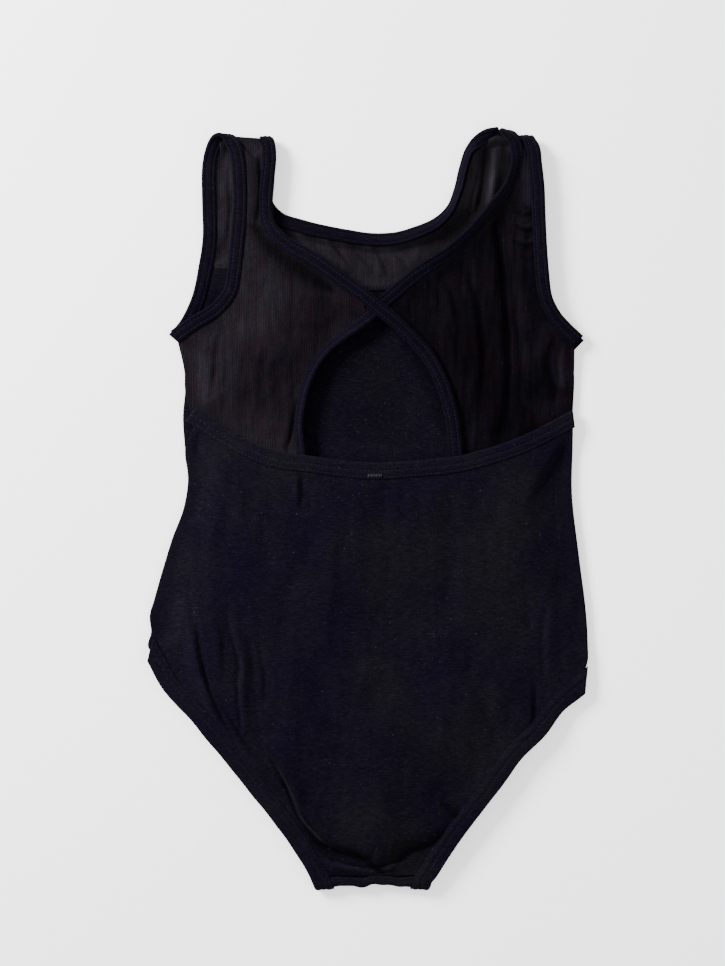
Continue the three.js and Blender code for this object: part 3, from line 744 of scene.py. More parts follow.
def tapeMaterial(name, colour, lines):
    # elastic tape or satin label: fine lines across the strip
    material, tree, shader, place = startMaterial(name, 0.6, 0.25, 0.1, 0.4, (1, 1, 1, 1))
    split = tree.nodes.new("ShaderNodeSeparateXYZ")
    tree.links.new(clothVector(tree), split.inputs[0])
    weave = mathNode(tree, "COSINE", mathNode(tree, "MULTIPLY", split.outputs[0], lines))
    warp = mathNode(tree, "COSINE", mathNode(tree, "MULTIPLY", split.outputs[1], lines * 1.7))
    height = mathNode(tree, "ADD", weave, mathNode(tree, "MULTIPLY", warp, 0.5))
    patch = noiseNode(tree, place, 120, 3)
    shade = mathNode(tree, "MULTIPLY", rangeNode(tree, height, -1.5, 1.5, 0.8, 1.15),
                     rangeNode(tree, patch, 0.3, 0.7, 0.85, 1.1))
    tree.links.new(scaleColour(tree, colour, shade), shader.inputs["Base Color"])
    addBump(tree, shader, height, 0.4, 0.0002)
    return material


jerseyLook = {
    "cool": (0.0022, 0.0013, 0.0050, 1), "warm": (0.0037, 0.0033, 0.0050, 1), "lint": (0.03, 0.028, 0.037, 1),
    "roughness": 0.95, "specular": 0.02, "sheen": 0.012, "sheenTint": (0.72, 0.7, 1, 1),
    "wales": 1.1, "courses": 1.4, "specks": 0.8, "patches": 1.0, "bump": 0.55,
}
bindingLook = {
    **jerseyLook,
    "cool": (0.0012, 0.0008, 0.0030, 1), "warm": (0.0024, 0.0018, 0.0042, 1),
    "wales": 1.5, "courses": 1.3, "specks": 0.45, "bump": 0.5,
}
wingLook = {
    "dark": (0.0027, 0.0020, 0.0036, 1), "light": (0.0066, 0.0058, 0.0079, 1), "lint": (0.024, 0.021, 0.024, 1),
    "blush": (0.0064, 0.0032, 0.0050, 1),
    "roughness": 0.85, "specular": 0.015, "sheen": 0.005, "sheenTint": (0.95, 0.85, 0.95, 1),
    "ribs": 860, "holes": 900, "ribShade": 0.8, "specks": 0.4, "patches": 1.2, "bump": 0.35,
    "solid": 0.99, "open": 0.8,
}
# the right wing: the same mesh in darker colours, painted shade where that wing lies in shadow
shadedWingLook = {**wingLook, "dark": (0.0008, 0.0006, 0.0014, 1), "light": (0.0025, 0.0020, 0.0034, 1),
                  "blush": (0.0026, 0.0010, 0.0018, 1)}
yokeLook = {**wingLook, "dark": (0.0036, 0.0030, 0.0046, 1), "light": (0.0084, 0.0074, 0.0096, 1),
            "blush": (0.0068, 0.0046, 0.0066, 1), "ribShade": 0.88,
            "solid": 0.985, "open": 0.86}
jersey = knitMaterial("jerseyKnit", jerseyLook)
binding = knitMaterial("bindingKnit", bindingLook)
wingMesh = meshMaterial("ribbedMesh", wingLook)
shadedWingMesh = meshMaterial("ribbedMeshPaintedShade", shadedWingLook)
yokeMesh = meshMaterial("ribbedMeshSingle", yokeLook)
thread = threadMaterial("sewingThread", (0.0088, 0.0078, 0.0135, 1), 0.7, 0.05)
hemThread = threadMaterial("hemThread", (0.0062, 0.0055, 0.0096, 1), 0.7, 0.04)
tackThread = threadMaterial("tackThread", (0.022, 0.021, 0.029, 1), 0.6, 0.1)
elastic = tapeMaterial("elasticTape", (0.03, 0.03, 0.033, 1), 4.5)
satin = tapeMaterial("labelSatin", (0.42, 0.41, 0.42, 1), 11)
print("materials ready")


def finishPiece(piece, slot, *nodes):
    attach(piece, "root")
    if nodes:
        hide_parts(*nodes)
    return piece


floorBand = layers["floorBand"]
upperBand = layers["upperBand"]
underBand = layers["underBand"]
shoulderBand = layers["shoulderBand"]
endGap = layers["endGap"]
hemMiddle = layers["hemMiddle"]
hemSide = layers["hemSide"]

armholeLeftRoute = [
    *level([(-131, 115), (-122, 126), (-115, 141), (-109.5, 165), (-107, 182), (-107, 202), (-107.5, 222),
            (-107, 234)], floorBand, -1),
    (-105.5, 242, 2, -0.85), (-102.5, 249, 3.3, -0.5), (-100.2, 251.6, 4.2, -0.25),
    (-97.5, 252.7, shoulderBand, 0), (-94.8, 251.8, 6, 0.25), (-92.5, 249.5, 6.9, 0.5), (-89, 243, 8.2, 0.85),
    *level([(-87, 234), (-86, 220), (-86, 200), (-88, 178), (-90, 160), (-93, 146)], upperBand, 1),
    (-103, 134, 8.3, 1), (-116, 126, 7, 1), (-129.5, 117, 5.6, 1),
]
armholeRightRoute = [
    *level([(142, 113), (132, 123), (123, 137), (118, 165), (117, 182), (116, 202), (115, 222), (113.5, 234)],
           floorBand, -1),
    (112.6, 242.5, 1.8, -0.9), (110, 249, 3.3, -0.4), (108.6, 251.2, 4.2, -0.2), (107.8, 252, shoulderBand, 0),
    (108.6, 251.2, 6, 0.2), (110, 249, 6.9, 0.4), (112.6, 242.5, 8.4, 0.9),
    *level([(113.5, 234), (115, 220), (116, 200), (117, 178), (118, 160), (121, 142)], upperBand, 1),
    (127, 130, 8.3, 1), (134, 122, 7, 1), (141, 115.5, 5.6, 1),
]
neckFrontRoute = [
    (-69.5, 251.2, shoulderBand - endGap, -0.1), (-67.8, 248, 2.3, -0.7), (-68, 238, floorBand, -1),
    *level([(-69.5, 222), (-68.5, 207), (-60, 197), (-45, 191.5), (-28, 187.5), (-12, 184.5), (3, 182.5),
            (18, 183), (33, 187), (46, 192.5), (56, 202), (62, 216), (66, 232)], floorBand, -1),
    (70, 243, 1.8, -0.9), (79, 251.5, 3, -0.5), (89.5, 256.5, shoulderBand - endGap, -0.1),
]
crossLeftRoute = [
    (-69.5, 251.2, shoulderBand + endGap, 0.1), (-67.3, 248, 7.9, 0.7), (-66, 238, upperBand, 1),
    *level([(-67.5, 222), (-68.5, 205), (-66, 191), (-57, 181), (-46, 174), (-32, 165.5)], upperBand, 1),
    (-19, 156, 9.2, 1), (-5, 146, 10.1, 1), (7, 136, layers["overBand"], 1), (20, 125.5, 10.1, 1),
    (32, 114, 9.2, 1),
    *level([(42, 102), (49, 89), (54.5, 74), (58, 59)], upperBand, 1),
    (59.5, 45, 7.6, 1), (60.5, 35, underBand, 1), (61, 27, underBand, 1),
]
crossRightRoute = [
    (91, 256.5, shoulderBand + endGap, 0.1), (98, 251.5, 7.6, 0.6), (101.5, 240, upperBand, 1),
    *level([(100, 228), (95, 216), (85, 203), (73, 189), (58, 174.5), (43, 165)], upperBand, 1),
    (30, 155.5, 7.8, 1), (18, 145.5, underBand, 1), (7.8, 136.6, underBand, 1),
]
keyholeLeftRoute = level([(6.6, 135.4), (-5, 125.5), (-17, 117), (-28, 108), (-36, 97), (-42, 84), (-45.5, 70),
                          (-47, 55), (-46, 42), (-45, 27)], underBand, 1)
topHemRoute = [
    (-114.5, 60, hemSide, 1), (-98, 49.5, 7.6, 1), (-78, 38.5, 9.6, 1), (-60, 32.5, hemMiddle, 1),
    *level([(-40, 30), (-20, 27), (5, 25), (30, 26.5), (60, 29.5), (82, 35)], hemMiddle, 1),
    (104, 42.5, 9, 1), (122, 51, 7.2, 1), (137.5, 59.5, hemSide, 1),
]


def legRoute(plan, crotchX):
    # down the front from the hip, round the crotch and up the back
    backHeights = [layers["hipBand"], 5.7, 8, upperBand, upperBand, upperBand, 8.4, 7.6, 7]
    crotchBand = layers["crotchBand"]
    roll = [(-253.7, floorBand, -1, 0.6), (-256.3, 2.3, -0.5, 2), (-257.2, 4, 0, 2.8), (-256.3, 5.7, 0.5, 2),
            (-253.7, crotchBand, 1, 0.6), (-250.5, crotchBand, 1, 0)]
    back = [(x, y, z, 1) for (x, y), z in zip(plan, backHeights)]
    inwards = -math.copysign(1, crotchX)
    turn = [(crotchX + inwards * pull, y, z, face) for y, z, face, pull in roll]
    return [*level(plan, floorBand, -1), *turn, *reversed(back)]


legLeftRoute = legRoute([(-142.3, -103.5), (-132.5, -120), (-114, -140), (-97, -160), (-80, -181), (-64, -201),
                         (-49, -221), (-40, -235), (-34, -246)], -31)
legRightRoute = legRoute([(143, -121), (130, -132), (115, -150), (97, -169), (82, -190), (67, -209), (55, -225),
                          (47, -237), (41, -247)], 38)

bindingWidth, topHemWidth, legHemWidth = 9, 11, 12
# each end's shift and slope bring its cut onto the side seam
square = (0, 0)
armholeLeft = bandFrames(armholeLeftRoute, 1, 1, bindingWidth, (square, (1, 0)))
armholeRight = bandFrames(armholeRightRoute, 1, -1, bindingWidth, ((3, 0), (3, 0)))
neckFront = bandFrames(neckFrontRoute, 1, 1, bindingWidth, (square, square),
                       ((0, 0), (0.1, 15), (0.3, 10), (0.6, 20), (0.75, 55), (0.9, 55), (1, 0)))
crossLeft = bandFrames(crossLeftRoute, 1, -1, bindingWidth)
crossRight = bandFrames(crossRightRoute, 1, 1, bindingWidth, (square, square),
                        ((0, 0), (0.2, 30), (0.5, 32), (0.8, 10), (1, 0)))
keyholeLeft = bandFrames(keyholeLeftRoute, 1, -1, bindingWidth, (square, square),
                         ((0, 0), (0.15, 34), (0.8, 40), (1, 20)))
topHem = bandFrames(topHemRoute, 1, -1, topHemWidth, ((6, 0.1), (5, -0.4)))
legLeft = bandFrames(legLeftRoute, -1, -1, legHemWidth, ((3.5, 1.04), (3.5, 1.04)))
legRight = bandFrames(legRightRoute, -1, 1, legHemWidth, ((0.9, 1.1), (0.9, 1.1)))

bandLook = {"radius": 0.95, "thickness": 0.6, "puff": 0.3, "give": 0.12, "edgeWave": 0.5, "rows": (2.6, 6.8),
            "groove": 0.42, "mouthDrop": 0.35, "mouthSoft": 1.1, "pitch": 2.6, "thread": 0.19, "elastic": (-2.1, 1.6)}
hemLook = {**bandLook, "rows": (5.2, 9.2), "puff": 0.25, "elastic": (-3.1, 6), "edgeWave": 0.7, "radius": 0.85,
           "mouthDrop": 0.6, "mouthSoft": 1.6}
legLook = {**hemLook, "rows": (6.6, 10.4), "puff": 0.3, "elastic": (-3.6, 6), "edgeWave": 0.9}
bands = [
    ("neck_binding_front", "neck_elastic_front", neckFront, bandLook),
    ("cross_band_left", "cross_band_elastic_left", crossLeft, bandLook),
    ("cross_band_right", "cross_band_elastic_right", crossRight, bandLook),
    ("keyhole_binding_left", "keyhole_elastic_left", keyholeLeft, bandLook),
    ("armhole_binding_left", "armhole_elastic_left", armholeLeft, bandLook),
    ("armhole_binding_right", "armhole_elastic_right", armholeRight, bandLook),
    ("back_top_hem", "back_top_elastic", topHem, hemLook),
    ("leg_hem_left", "leg_elastic_left", legLeft, legLook),
    ("leg_hem_right", "leg_elastic_right", legRight, legLook),
]
tapeThickness = 0.2
for number, (bandNode, elasticNode, band, look) in enumerate(bands):
    look = {**look, "seed": number * 5.3}
    cloth = jersey if "hem" in bandNode else binding
    strip = finishPiece(foldedStrip("binding_" + bandNode, band, look, cloth), "binding", bandNode)
    start, width = look["elastic"]
    tape = tapeStrip("tape_" + elasticNode, band, start, width, tapeThickness, elastic)
    finishPiece(tape, "elastic", elasticNode)
    sewn = hemThread if "leg" in bandNode else thread
    rows = finishPiece(coverstitch("stitches_" + bandNode, band, look, sewn), "thread")
print("bands ready:", len(bands))


sideLeftPlan = [(-124, 93), (-123.5, 80), (-125, 62), (-123.5, 40), (-121.5, 20), (-124.5, 0), (-132, -20),
                (-138.5, -41), (-144.5, -62), (-147.5, -73), (-146.5, -84), (-148.5, -94)]
sideRightPlan = [(140.5, 93), (139.5, 62), (139.5, 40), (139, 10), (143.5, -30), (148.5, -70), (149.7, -90),
                 (149, -106)]
yokeSeamPlan = [(-90, 164), (-40, 155), (5, 150), (50, 155), (95, 164)]
jerseyThickness, meshThickness = 0.8, 0.4
slotGap = 1.2


def insetFor(look):
    start, width = look["elastic"]
    return start + width + slotGap


bindingInset = insetFor(bandLook)
legInset = insetFor(legLook)
topInset = insetFor(hemLook)
last = {"arm": len(armholeLeftRoute) - 1, "keyhole": len(keyholeLeftRoute) - 1, "leg": len(legLeftRoute) - 1,
        "crossLeft": len(crossLeftRoute) - 1, "neck": len(neckFrontRoute) - 1}


def sideLine(plan, height, hipHeight):
    return [*raised(plan[:-1], height), *raised(plan[-1:], hipHeight)]


def buildFrontBody():
    mouth = legHemWidth / 2 - 1
    legEdges = [np.vstack([slotEdge(leg, 0, 8, legInset), slotEdge(leg, 9, 13.85, mouth)])
                for leg in (legLeft, legRight)]
    armLeft = slotEdge(armholeLeft, 0.5, 3, bindingInset)
    armRight = slotEdge(armholeRight, 3, 0.5, bindingInset)
    frontSide = layers["frontSide"]
    grid = panelGrid(
        chain((armLeft, 0.2), ([armLeft[-1], *raised(yokeSeamPlan, jerseyThickness / 2), armRight[0]], 0.8),
              (armRight, 1)),
        chain(([legEdges[0][-1], legEdges[1][-1]], 1)),
        chain(([armLeft[0], *sideLine(sideLeftPlan, frontSide, floorBand), legEdges[0][0]], 0.45), (legEdges[0], 1)),
        chain(([armRight[-1], *sideLine(sideRightPlan, frontSide, floorBand), legEdges[1][0]], 0.45),
              (legEdges[1], 1)),
        (121, 181), jerseyThickness / 2, 6.5, 13, 0.92)
    # the turn at the crotch wavers between the hems
    across = np.linspace(0, 1, grid.shape[1])
    wave = (1.1 * np.sin(across * 4 * math.pi + 0.6) + 0.5 * np.sin(across * 9 * math.pi)) * np.sin(across * math.pi)
    turned = smoothStep(np.linspace(0, 1, grid.shape[0]), 0.9, 0.96)
    grid[..., 1] += turned[:, None] * wave[None, :]
    return grid


def buildFrontYoke():
    armLeft = slotEdge(armholeLeft, 10.6, 3, bindingInset)
    armRight = slotEdge(armholeRight, 10.6, 3, bindingInset)
    neck = slotEdge(neckFront, 0.2, last["neck"] - 0.2, bindingInset)
    # its lower edge lies over the body's upper one, as the seam allowance does
    seam = np.array([armLeft[-1], *raised(yokeSeamPlan, 1.15), armRight[-1]]) - np.array([0, 2.2, 0])
    armLeft[-1], armRight[-1] = seam[0], seam[-1]
    return panelGrid(
        chain(([armLeft[0], neck[0]], 0.12), (neck, 0.88), ([neck[-1], armRight[0]], 1)),
        chain((seam, 1)), chain((armLeft, 1)), chain((armRight, 1)),
        (161, 111), meshThickness / 2, 3, 9)


def buildBackBody():
    top = slotEdge(topHem, 0, len(topHemRoute) - 1, topInset)
    legEdges = [np.vstack([slotEdge(leg, last["leg"], 15.5, legInset), slotEdge(leg, 15, 14.0, legHemWidth / 2 - 1)])
                for leg in (legLeft, legRight)]
    backSide = layers["backSide"]
    hip = layers["hipBand"]
    return panelGrid(
        chain((top, 1)),
        chain(([legEdges[0][-1], legEdges[1][-1]], 1)),
        chain(([top[0], (-119.5, 51, hemSide - 0.4), *sideLine(sideLeftPlan[3:], backSide, hip), legEdges[0][0]],
               0.42), (legEdges[0], 1)),
        chain(([top[-1], (139.5, 49, hemSide - 0.2), *sideLine(sideRightPlan[2:], backSide, hip), legEdges[1][0]],
               0.42), (legEdges[1], 1)),
        (201, 221), 9.4, 5, 38)


def buildWingLeft():
    arm = slotEdge(armholeLeft, 11.2, last["arm"], bindingInset)
    neck = slotEdge(crossLeft, 0.2, 7.2, bindingInset)
    keyhole = slotEdge(keyholeLeft, 0.5, last["keyhole"] - 0.5, bindingInset)
    clear = 2.6
    under = [bandPoint(crossLeft, 8, clear, upperBand - 1.4), bandPoint(crossLeft, 10.2, clear, underBand + 0.3)]
    hem = [(-119, 62, 3.6), (-101, 51.5, 4.4), (-78, 39.5, 5.4), (-63, 33.5, 6.4)]
    return panelGrid(
        chain(([arm[0], neck[0]], 1)),
        chain(([*hem, keyhole[-1]], 1)),
        chain((arm, 0.65), ([arm[-1], *raised(sideLeftPlan[:2], layers["wingSide"]), hem[0]], 1)),
        chain(([*neck, *under, keyhole[0]], 0.6), (keyhole, 1)),
        (111, 191), upperBand, 5, 38)


def buildWingRight():
    arm = slotEdge(armholeRight, 11.2, last["arm"], bindingInset)
    neck = slotEdge(crossRight, 0.2, 10.6, bindingInset)
    keyhole = slotEdge(crossLeft, 11.7, last["crossLeft"] - 0.5, 0)
    keyhole[:, 2] = np.minimum(underBand, keyhole[:, 2] - floorBand - 0.7)
    hem = [(85, 36, 5.6), (107, 44.5, 5), (124, 52.5, 4.2), (138, 61, 3.6)]
    return panelGrid(
        chain(([neck[0], arm[0]], 1)),
        chain(([keyhole[-1], *hem], 1)),
        chain((neck, 0.6), ([neck[-1], *keyhole], 1)),
        chain((arm, 0.65), ([arm[-1], *raised(sideRightPlan[:1], layers["wingSide"]), hem[-1]], 1)),
        (111, 191), upperBand, 5, 38)


# each fold: points, height, width, lean (which side its valley is on)
backFolds = [
    ([(-118, -76), (-116, -95), (-113, -110), (-104, -135), (-90, -160)], 2.4, 2.2, 1),
    ([(-92, -66), (-88, -89), (-84, -104), (-85, -121), (-82, -152)], 2.8, 2.0, -1),
    ([(-76, -90), (-72, -110), (-71, -132)], 1.2, 2.0, 1),
    ([(-104, -70), (-100, -90), (-99, -112)], 1.0, 2.0, 1),
    ([(-96, -140), (-84, -160), (-74, -171), (-56, -187)], 1.8, 2.2, 1),
    ([(-70, -155), (-58, -175), (-49, -193), (-44, -206), (-37, -215.5), (-28, -224), (-14, -231), (3, -236)],
     3.4, 2.6, -1),
    ([(-36, -236), (-16, -243), (6, -246), (27, -239)], 2.6, 1.8, 1),
    ([(14, -244), (25, -231), (35, -226), (50, -220), (56, -214)], 2.0, 3.4, -1),
    ([(48, -197), (56, -204), (63, -206), (73, -201)], 1.8, 1.6, 1),
    ([(110, -118), (111, -140), (113, -160)], 1.6, 2.6, 1),
    ([(126, -60), (122, -90), (124, -116)], 1.2, 3.0, -1),
    ([(-46, 25), (-46, 14), (-46, 2)], 1.6, 1.3, 1),
    ([(-20, 15), (-24, -40), (-30, -100)], 0.9, 7, 1),
    ([(62, 18), (66, -30), (60, -80)], 0.9, 8, -1),
    ([(-114, 54), (-115, 46), (-116.3, 36)], -0.9, 1.1, 0),
    ([(60, -110), (75, -140), (84, -160)], 1.0, 6, 1),
    ([(10, -120), (2, -160), (12, -200)], 0.9, 7, -1),
    ([(-96, 38), (-100, 0), (-110, -30)], 0.8, 6, 1),
    ([(128, 44), (127, 10), (130, -30)], -0.7, 1.1, 0),
]
wingLeftFolds = [
    ([(-64, 200), (-56, 186), (-42, 172)], -2.6, 3.6, 0),
    ([(-76, 240), (-74, 215), (-78, 190)], 1.4, 2.6, 1),
    ([(-48, 76), (-52, 56), (-55, 42)], 1.8, 1.6, 1),
    ([(-96, 120), (-90, 90), (-92, 60)], 1.0, 4, -1),
    ([(-60, 60), (-66, 80), (-64, 110)], 0.8, 4, 1),
    ([(-104, 118), (-106, 95), (-108, 75)], 1.0, 3, 1),
]
wingRightFolds = [
    ([(84, 196), (88, 160), (91, 120), (92, 90), (88, 50)], 2.4, 3.2, 1),
    ([(52, 166), (60, 150), (66, 128), (66, 100)], 1.8, 3.4, -1),
    ([(104, 170), (106, 130), (112, 80)], 1.4, 3.6, -1),
    ([(62, 168), (70, 140), (74, 100), (74, 70)], 1.8, 4, 1),
    ([(44, 160), (54, 140), (62, 118)], 1.6, 3, -1),
    ([(96, 203), (106, 200), (114, 203)], 1.2, 1.3, 1),
    ([(96, 194), (106, 190), (114, 193)], 1.4, 1.4, 1),
    ([(97, 184), (106, 180), (114, 182)], 1.2, 1.4, 1),
    ([(98, 175), (106, 171), (113, 172)], 1.0, 1.4, 1),
    ([(126, 120), (120, 100), (126, 74)], 1.2, 2.6, 1),
    ([(134, 112), (132, 96), (136, 78)], 1.0, 2.0, -1),
]
yokeFolds = [
    ([(-48, 190), (-38, 178), (-28, 166)], 1.0, 2.6, 1),
    ([(-31, 187), (-22, 175), (-10, 160)], 1.9, 1.9, 1),
    ([(-19, 185), (-7, 171), (4, 160)], 1.5, 2.4, 1),
    ([(-3, 183), (6, 172), (12, 158)], 1.7, 1.7, 1),
    ([(12, 182), (18, 171), (30, 160)], 0.9, 2.4, 1),
    ([(32, 186), (33, 172), (40, 160)], 0.8, 2.8, -1),
    ([(78, 244), (76, 222), (72, 200)], 2.6, 1.8, 1),
    ([(86, 246), (85, 222), (82, 196)], 3.2, 2.0, -1),
    ([(96, 244), (97, 222), (92, 200)], 1.8, 2.2, 1),
    ([(-97, 232), (-95, 205), (-98, 175)], 1.2, 2.2, 1),
    ([(-92, 228), (-91, 200), (-92, 178)], 0.9, 1.8, -1),
]
frontFolds = [
    ([(-30, 120), (0, 105), (30, 118)], 0.8, 8, 1),
    ([(-20, 60), (10, 70), (40, 64)], 0.7, 8, -1),
]
# each shade is painted into the colour: points, share of the light lost (below zero: a painted highlight, paler where
# light falls), width
backShades = [
    ([(-68, -160), (-59, -178), (-53, -190), (-48, -201.8), (-44.5, -208.6)], 0.88, 2.2),
    ([(-45, -206), (-38.1, -218.1), (-33.7, -225.6), (-23.5, -229.7), (-13.3, -232.4), (-3.1, -236.5),
      (5.4, -243.3), (10.5, -246)], 0.88, 4.2),
    ([(8, -243), (16, -236), (24, -231), (33, -227), (46, -222), (54, -217)], 0.62, 8.5),
    ([(-30, -246), (-14, -248), (6, -248)], 0.5, 2.2),
    ([(48, -197), (56, -204), (63, -206)], 0.5, 2.2),
    ([(-122, -42), (-120, -69), (-110, -110), (-93, -144), (-72, -178), (-58, -194)], 0.4, 1.8),
    ([(-83, -80), (-79.6, -100), (-77, -120), (-74, -148)], 0.5, 1.6),
    ([(-116, -78), (-113, -100), (-106, -128)], 0.35, 2.2),
    ([(-97, -70), (-96, -92), (-90, -118)], 0.25, 2.5),
    ([(114.9, -121), (111.5, -137.2), (113.5, -151)], 0.6, 1.3),
    ([(-46.5, 26), (-46.5, 14), (-46, 0)], 0.45, 1.8),
    ([(-114, 54), (-115, 46), (-116.3, 36)], 0.6, 1.3),
    ([(20, -150), (30, -190), (26, -225)], 0.2, 22),
    ([(-20, -60), (20, -40), (50, 0)], 0.12, 30),
    ([(-72, -206), (-58, -226), (-44, -244)], -0.45, 7),
    ([(-20, -241), (-4, -247), (14, -248)], -0.3, 3),
    ([(118, -60), (128, -100), (112, -130)], -0.25, 14),
    ([(-130, -60), (-126, -90), (-108, -120)], -0.2, 10),
]
wingLeftShades = [
    ([(-76, 190), (-62, 173), (-46, 162), (-26, 149)], 0.72, 8),
    ([(-76, 236), (-75, 214), (-76, 196)], 0.4, 5),
    ([(-50, 84), (-53, 60), (-55, 38)], 0.5, 3),
    ([(-24, 128), (-40, 108), (-48, 84)], 0.3, 8),
    ([(-104, 118), (-108, 95), (-110, 72)], -0.35, 9),
    ([(-84, 150), (-80, 120), (-78, 90)], -0.2, 18),
]
wingRightShades = [
    ([(98, 214), (86, 192), (70, 176), (50, 158)], 0.6, 9),
    ([(84, 190), (86, 150), (84, 110), (80, 70)], 0.4, 10),
    ([(60, 150), (64, 120), (68, 90)], 0.45, 6),
    ([(112, 240), (110, 222), (109, 206)], -1.8, 5),
    ([(106, 200), (110, 190), (112, 180)], -0.5, 6),
    ([(98, 201), (108, 199), (114, 202)], 0.6, 1.6),
    ([(98, 192), (108, 188), (114, 191)], 0.6, 1.8),
    ([(99, 181), (108, 177), (114, 180)], 0.5, 1.8),
    ([(122, 124), (126, 108), (132, 84)], -1.3, 8),
    ([(108, 72), (122, 68), (134, 74)], -0.8, 9),
    ([(100, 150), (104, 120), (106, 90)], -0.3, 8),
    ([(126, 116), (120, 98), (122, 76)], 0.5, 1.8),
]
yokeShades = [
    ([(80, 246), (78, 226), (74, 200)], 0.75, 2.2),
    ([(92, 246), (93, 226), (88, 208)], 0.72, 4.2),
    ([(86, 240), (84, 222), (79, 204)], -0.5, 2.6),
    ([(73, 242), (72, 222), (66, 204)], -0.9, 4.5),
    ([(40, 190), (56, 204), (64, 218)], -0.3, 5),
    ([(-97, 226), (-94, 206), (-96, 186)], -0.5, 5),
    ([(-92, 222), (-95, 212), (-99, 204)], 0.5, 2.2),
    ([(-60, 190), (-40, 184), (-20, 176)], 0.35, 4),
    ([(-34, 186), (-24, 174), (-12, 160)], 0.4, 2),
    ([(-12, 182), (0, 170), (8, 158)], 0.4, 2),
    ([(4, 181), (12, 170), (20, 158)], 0.35, 2),
]
frontShades = [
    ([(-4, 116), (4, 80), (4, 40)], 0.3, 34),
    ([(-30, 100), (-40, 74), (-42, 44)], 0.4, 7),
    ([(20, 122), (42, 92), (52, 52)], 0.4, 7),
]

panels = [
    ("front_body", "jersey", buildFrontBody, jerseyThickness, frontFolds, frontShades,
     (0.4, 30, (1, 1)), "ground"),
    ("front_yoke", "mesh", buildFrontYoke, meshThickness, yokeFolds, yokeShades,
     (0.8, 16, (1, 0.7)), "ground"),
    ("back_body", "jersey", buildBackBody, jerseyThickness, backFolds, backShades,
     (1.5, 40, (1.3, 0.6)), "front_body"),
    ("back_wing_left", "mesh", buildWingLeft, meshThickness, wingLeftFolds, wingLeftShades,
     (1.0, 24, (1.4, 0.5)), "front_body"),
    ("back_wing_right", "mesh", buildWingRight, meshThickness, wingRightFolds, wingRightShades,
     (1.5, 20, (1.6, 0.4)), "front_body"),
]
materialFor = {"front_body": jersey, "back_body": jersey, "front_yoke": yokeMesh, "back_wing_left": wingMesh,
               "back_wing_right": shadedWingMesh}


for node, slotName, build, thickness, folds, shades, (amount, size, stretch), under in panels:
    grid = build()
    # painted shade and painted highlights along creases and shaded places, stored for the colour
    paintedShading = paintCreaseShading(grid, shades)
    grid = addFolds(grid, folds)
    grid = addRipple(grid, amount, size, len(node), stretch)
    lowest = thickness / 2 - patternShift[2]
    grid[..., 2] = np.maximum(grid[..., 2], lowest)
    piece = clothMesh("cloth_" + node, grid, thickness, materialFor[node], gridUv(grid), paintedShading)
    finishPiece(piece, slotName, node)


def ribbonGrid(points, width, count, columns=3):
    line = smoothLine(points, 10)
    place = along(line, np.linspace(0, lengthsOf(line)[-1], count))
    tangent = unit(np.gradient(place, axis=0))
    sideways = unit(np.stack([-tangent[:, 1], tangent[:, 0], np.zeros(count)], axis=1))
    across = np.linspace(-width / 2, width / 2, columns)
    return place[:, None] + sideways[:, None] * across[None, :, None]


overlock = {"width": 4, "cloth": 0.6, "pitch": 2.2, "reach": 0.42, "lift": 0.25, "lean": 0.7, "thread": 0.13}


def overlockSeam(node, points):
    # the bound seam allowance, with the thread's loops over it
    width = overlock["width"]
    line = smoothLine(points, 10)
    total = lengthsOf(line)[-1]
    grid = ribbonGrid(points, width - overlock["cloth"], max(4, int(total / 2)))
    base = clothMesh("seam_" + node, grid, 0.4, jersey, gridUv(grid))
    finishPiece(base, "thread", node)
    count = max(2, int(total / overlock["pitch"]))
    place = along(line, np.linspace(0.5, total - 0.5, count))
    tangent = unit(np.gradient(place, axis=0))
    sideways = unit(np.stack([-tangent[:, 1], tangent[:, 0], np.zeros(count)], axis=1))
    up = np.tile([0, 0, 1.0], (count, 1))
    near = place - sideways * width * overlock["reach"] + up * overlock["lift"]
    far = place + sideways * width * overlock["reach"] + up * overlock["lift"]
    lean = tangent * overlock["lean"]
    loops = threadMesh("loops_" + node, np.vstack([near, far]), np.vstack([far + lean, near + lean * 2]),
                       np.vstack([up, up]), overlock["thread"], thread, 5)
    return finishPiece(loops, "thread")


seamShift = 15
between = layers["frontSide"] - 0.3
seams = {
    "side_seam_left": [(x + seamShift, y, between) for x, y in sideLeftPlan[2:]],
    "side_seam_right": [(x - seamShift, y, between) for x, y in sideRightPlan[1:]],
    "yoke_seam": raised([(-62, 157.5), (-30, 152.5), (5, 149.5), (40, 152.5), (68, 157.5)], 1.4),
    "crotch_seam": raised([(-20, -250.5), (4, -250.5), (27, -250.5)], layers["crotchBand"] - 1),
    "shoulder_seam_left": raised([(-85, 249), (-75, 249)], shoulderBand),
    "shoulder_seam_right": raised([(98, 244), (104, 243)], shoulderBand),
}
for node, points in seams.items():
    overlockSeam(node, points)


def buildGusset():
    height = 1.5
    left = raised([(-62, -172), (-44, -200), (-29, -218), (-22, -228)], height)
    right = raised([(66, -172), (49, -200), (35, -218), (29, -228)], height)
    grid = panelGrid(chain(([left[0], (2, -166, height), right[0]], 1)), chain(([left[-1], right[-1]], 1)),
                     chain((left, 1)), chain((right, 1)), (41, 31), height, 6.5, 13)
    piece = clothMesh("cloth_crotch_gusset", grid, 0.4, jersey, gridUv(grid))
    finishPiece(piece, "jersey", "crotch_gusset")


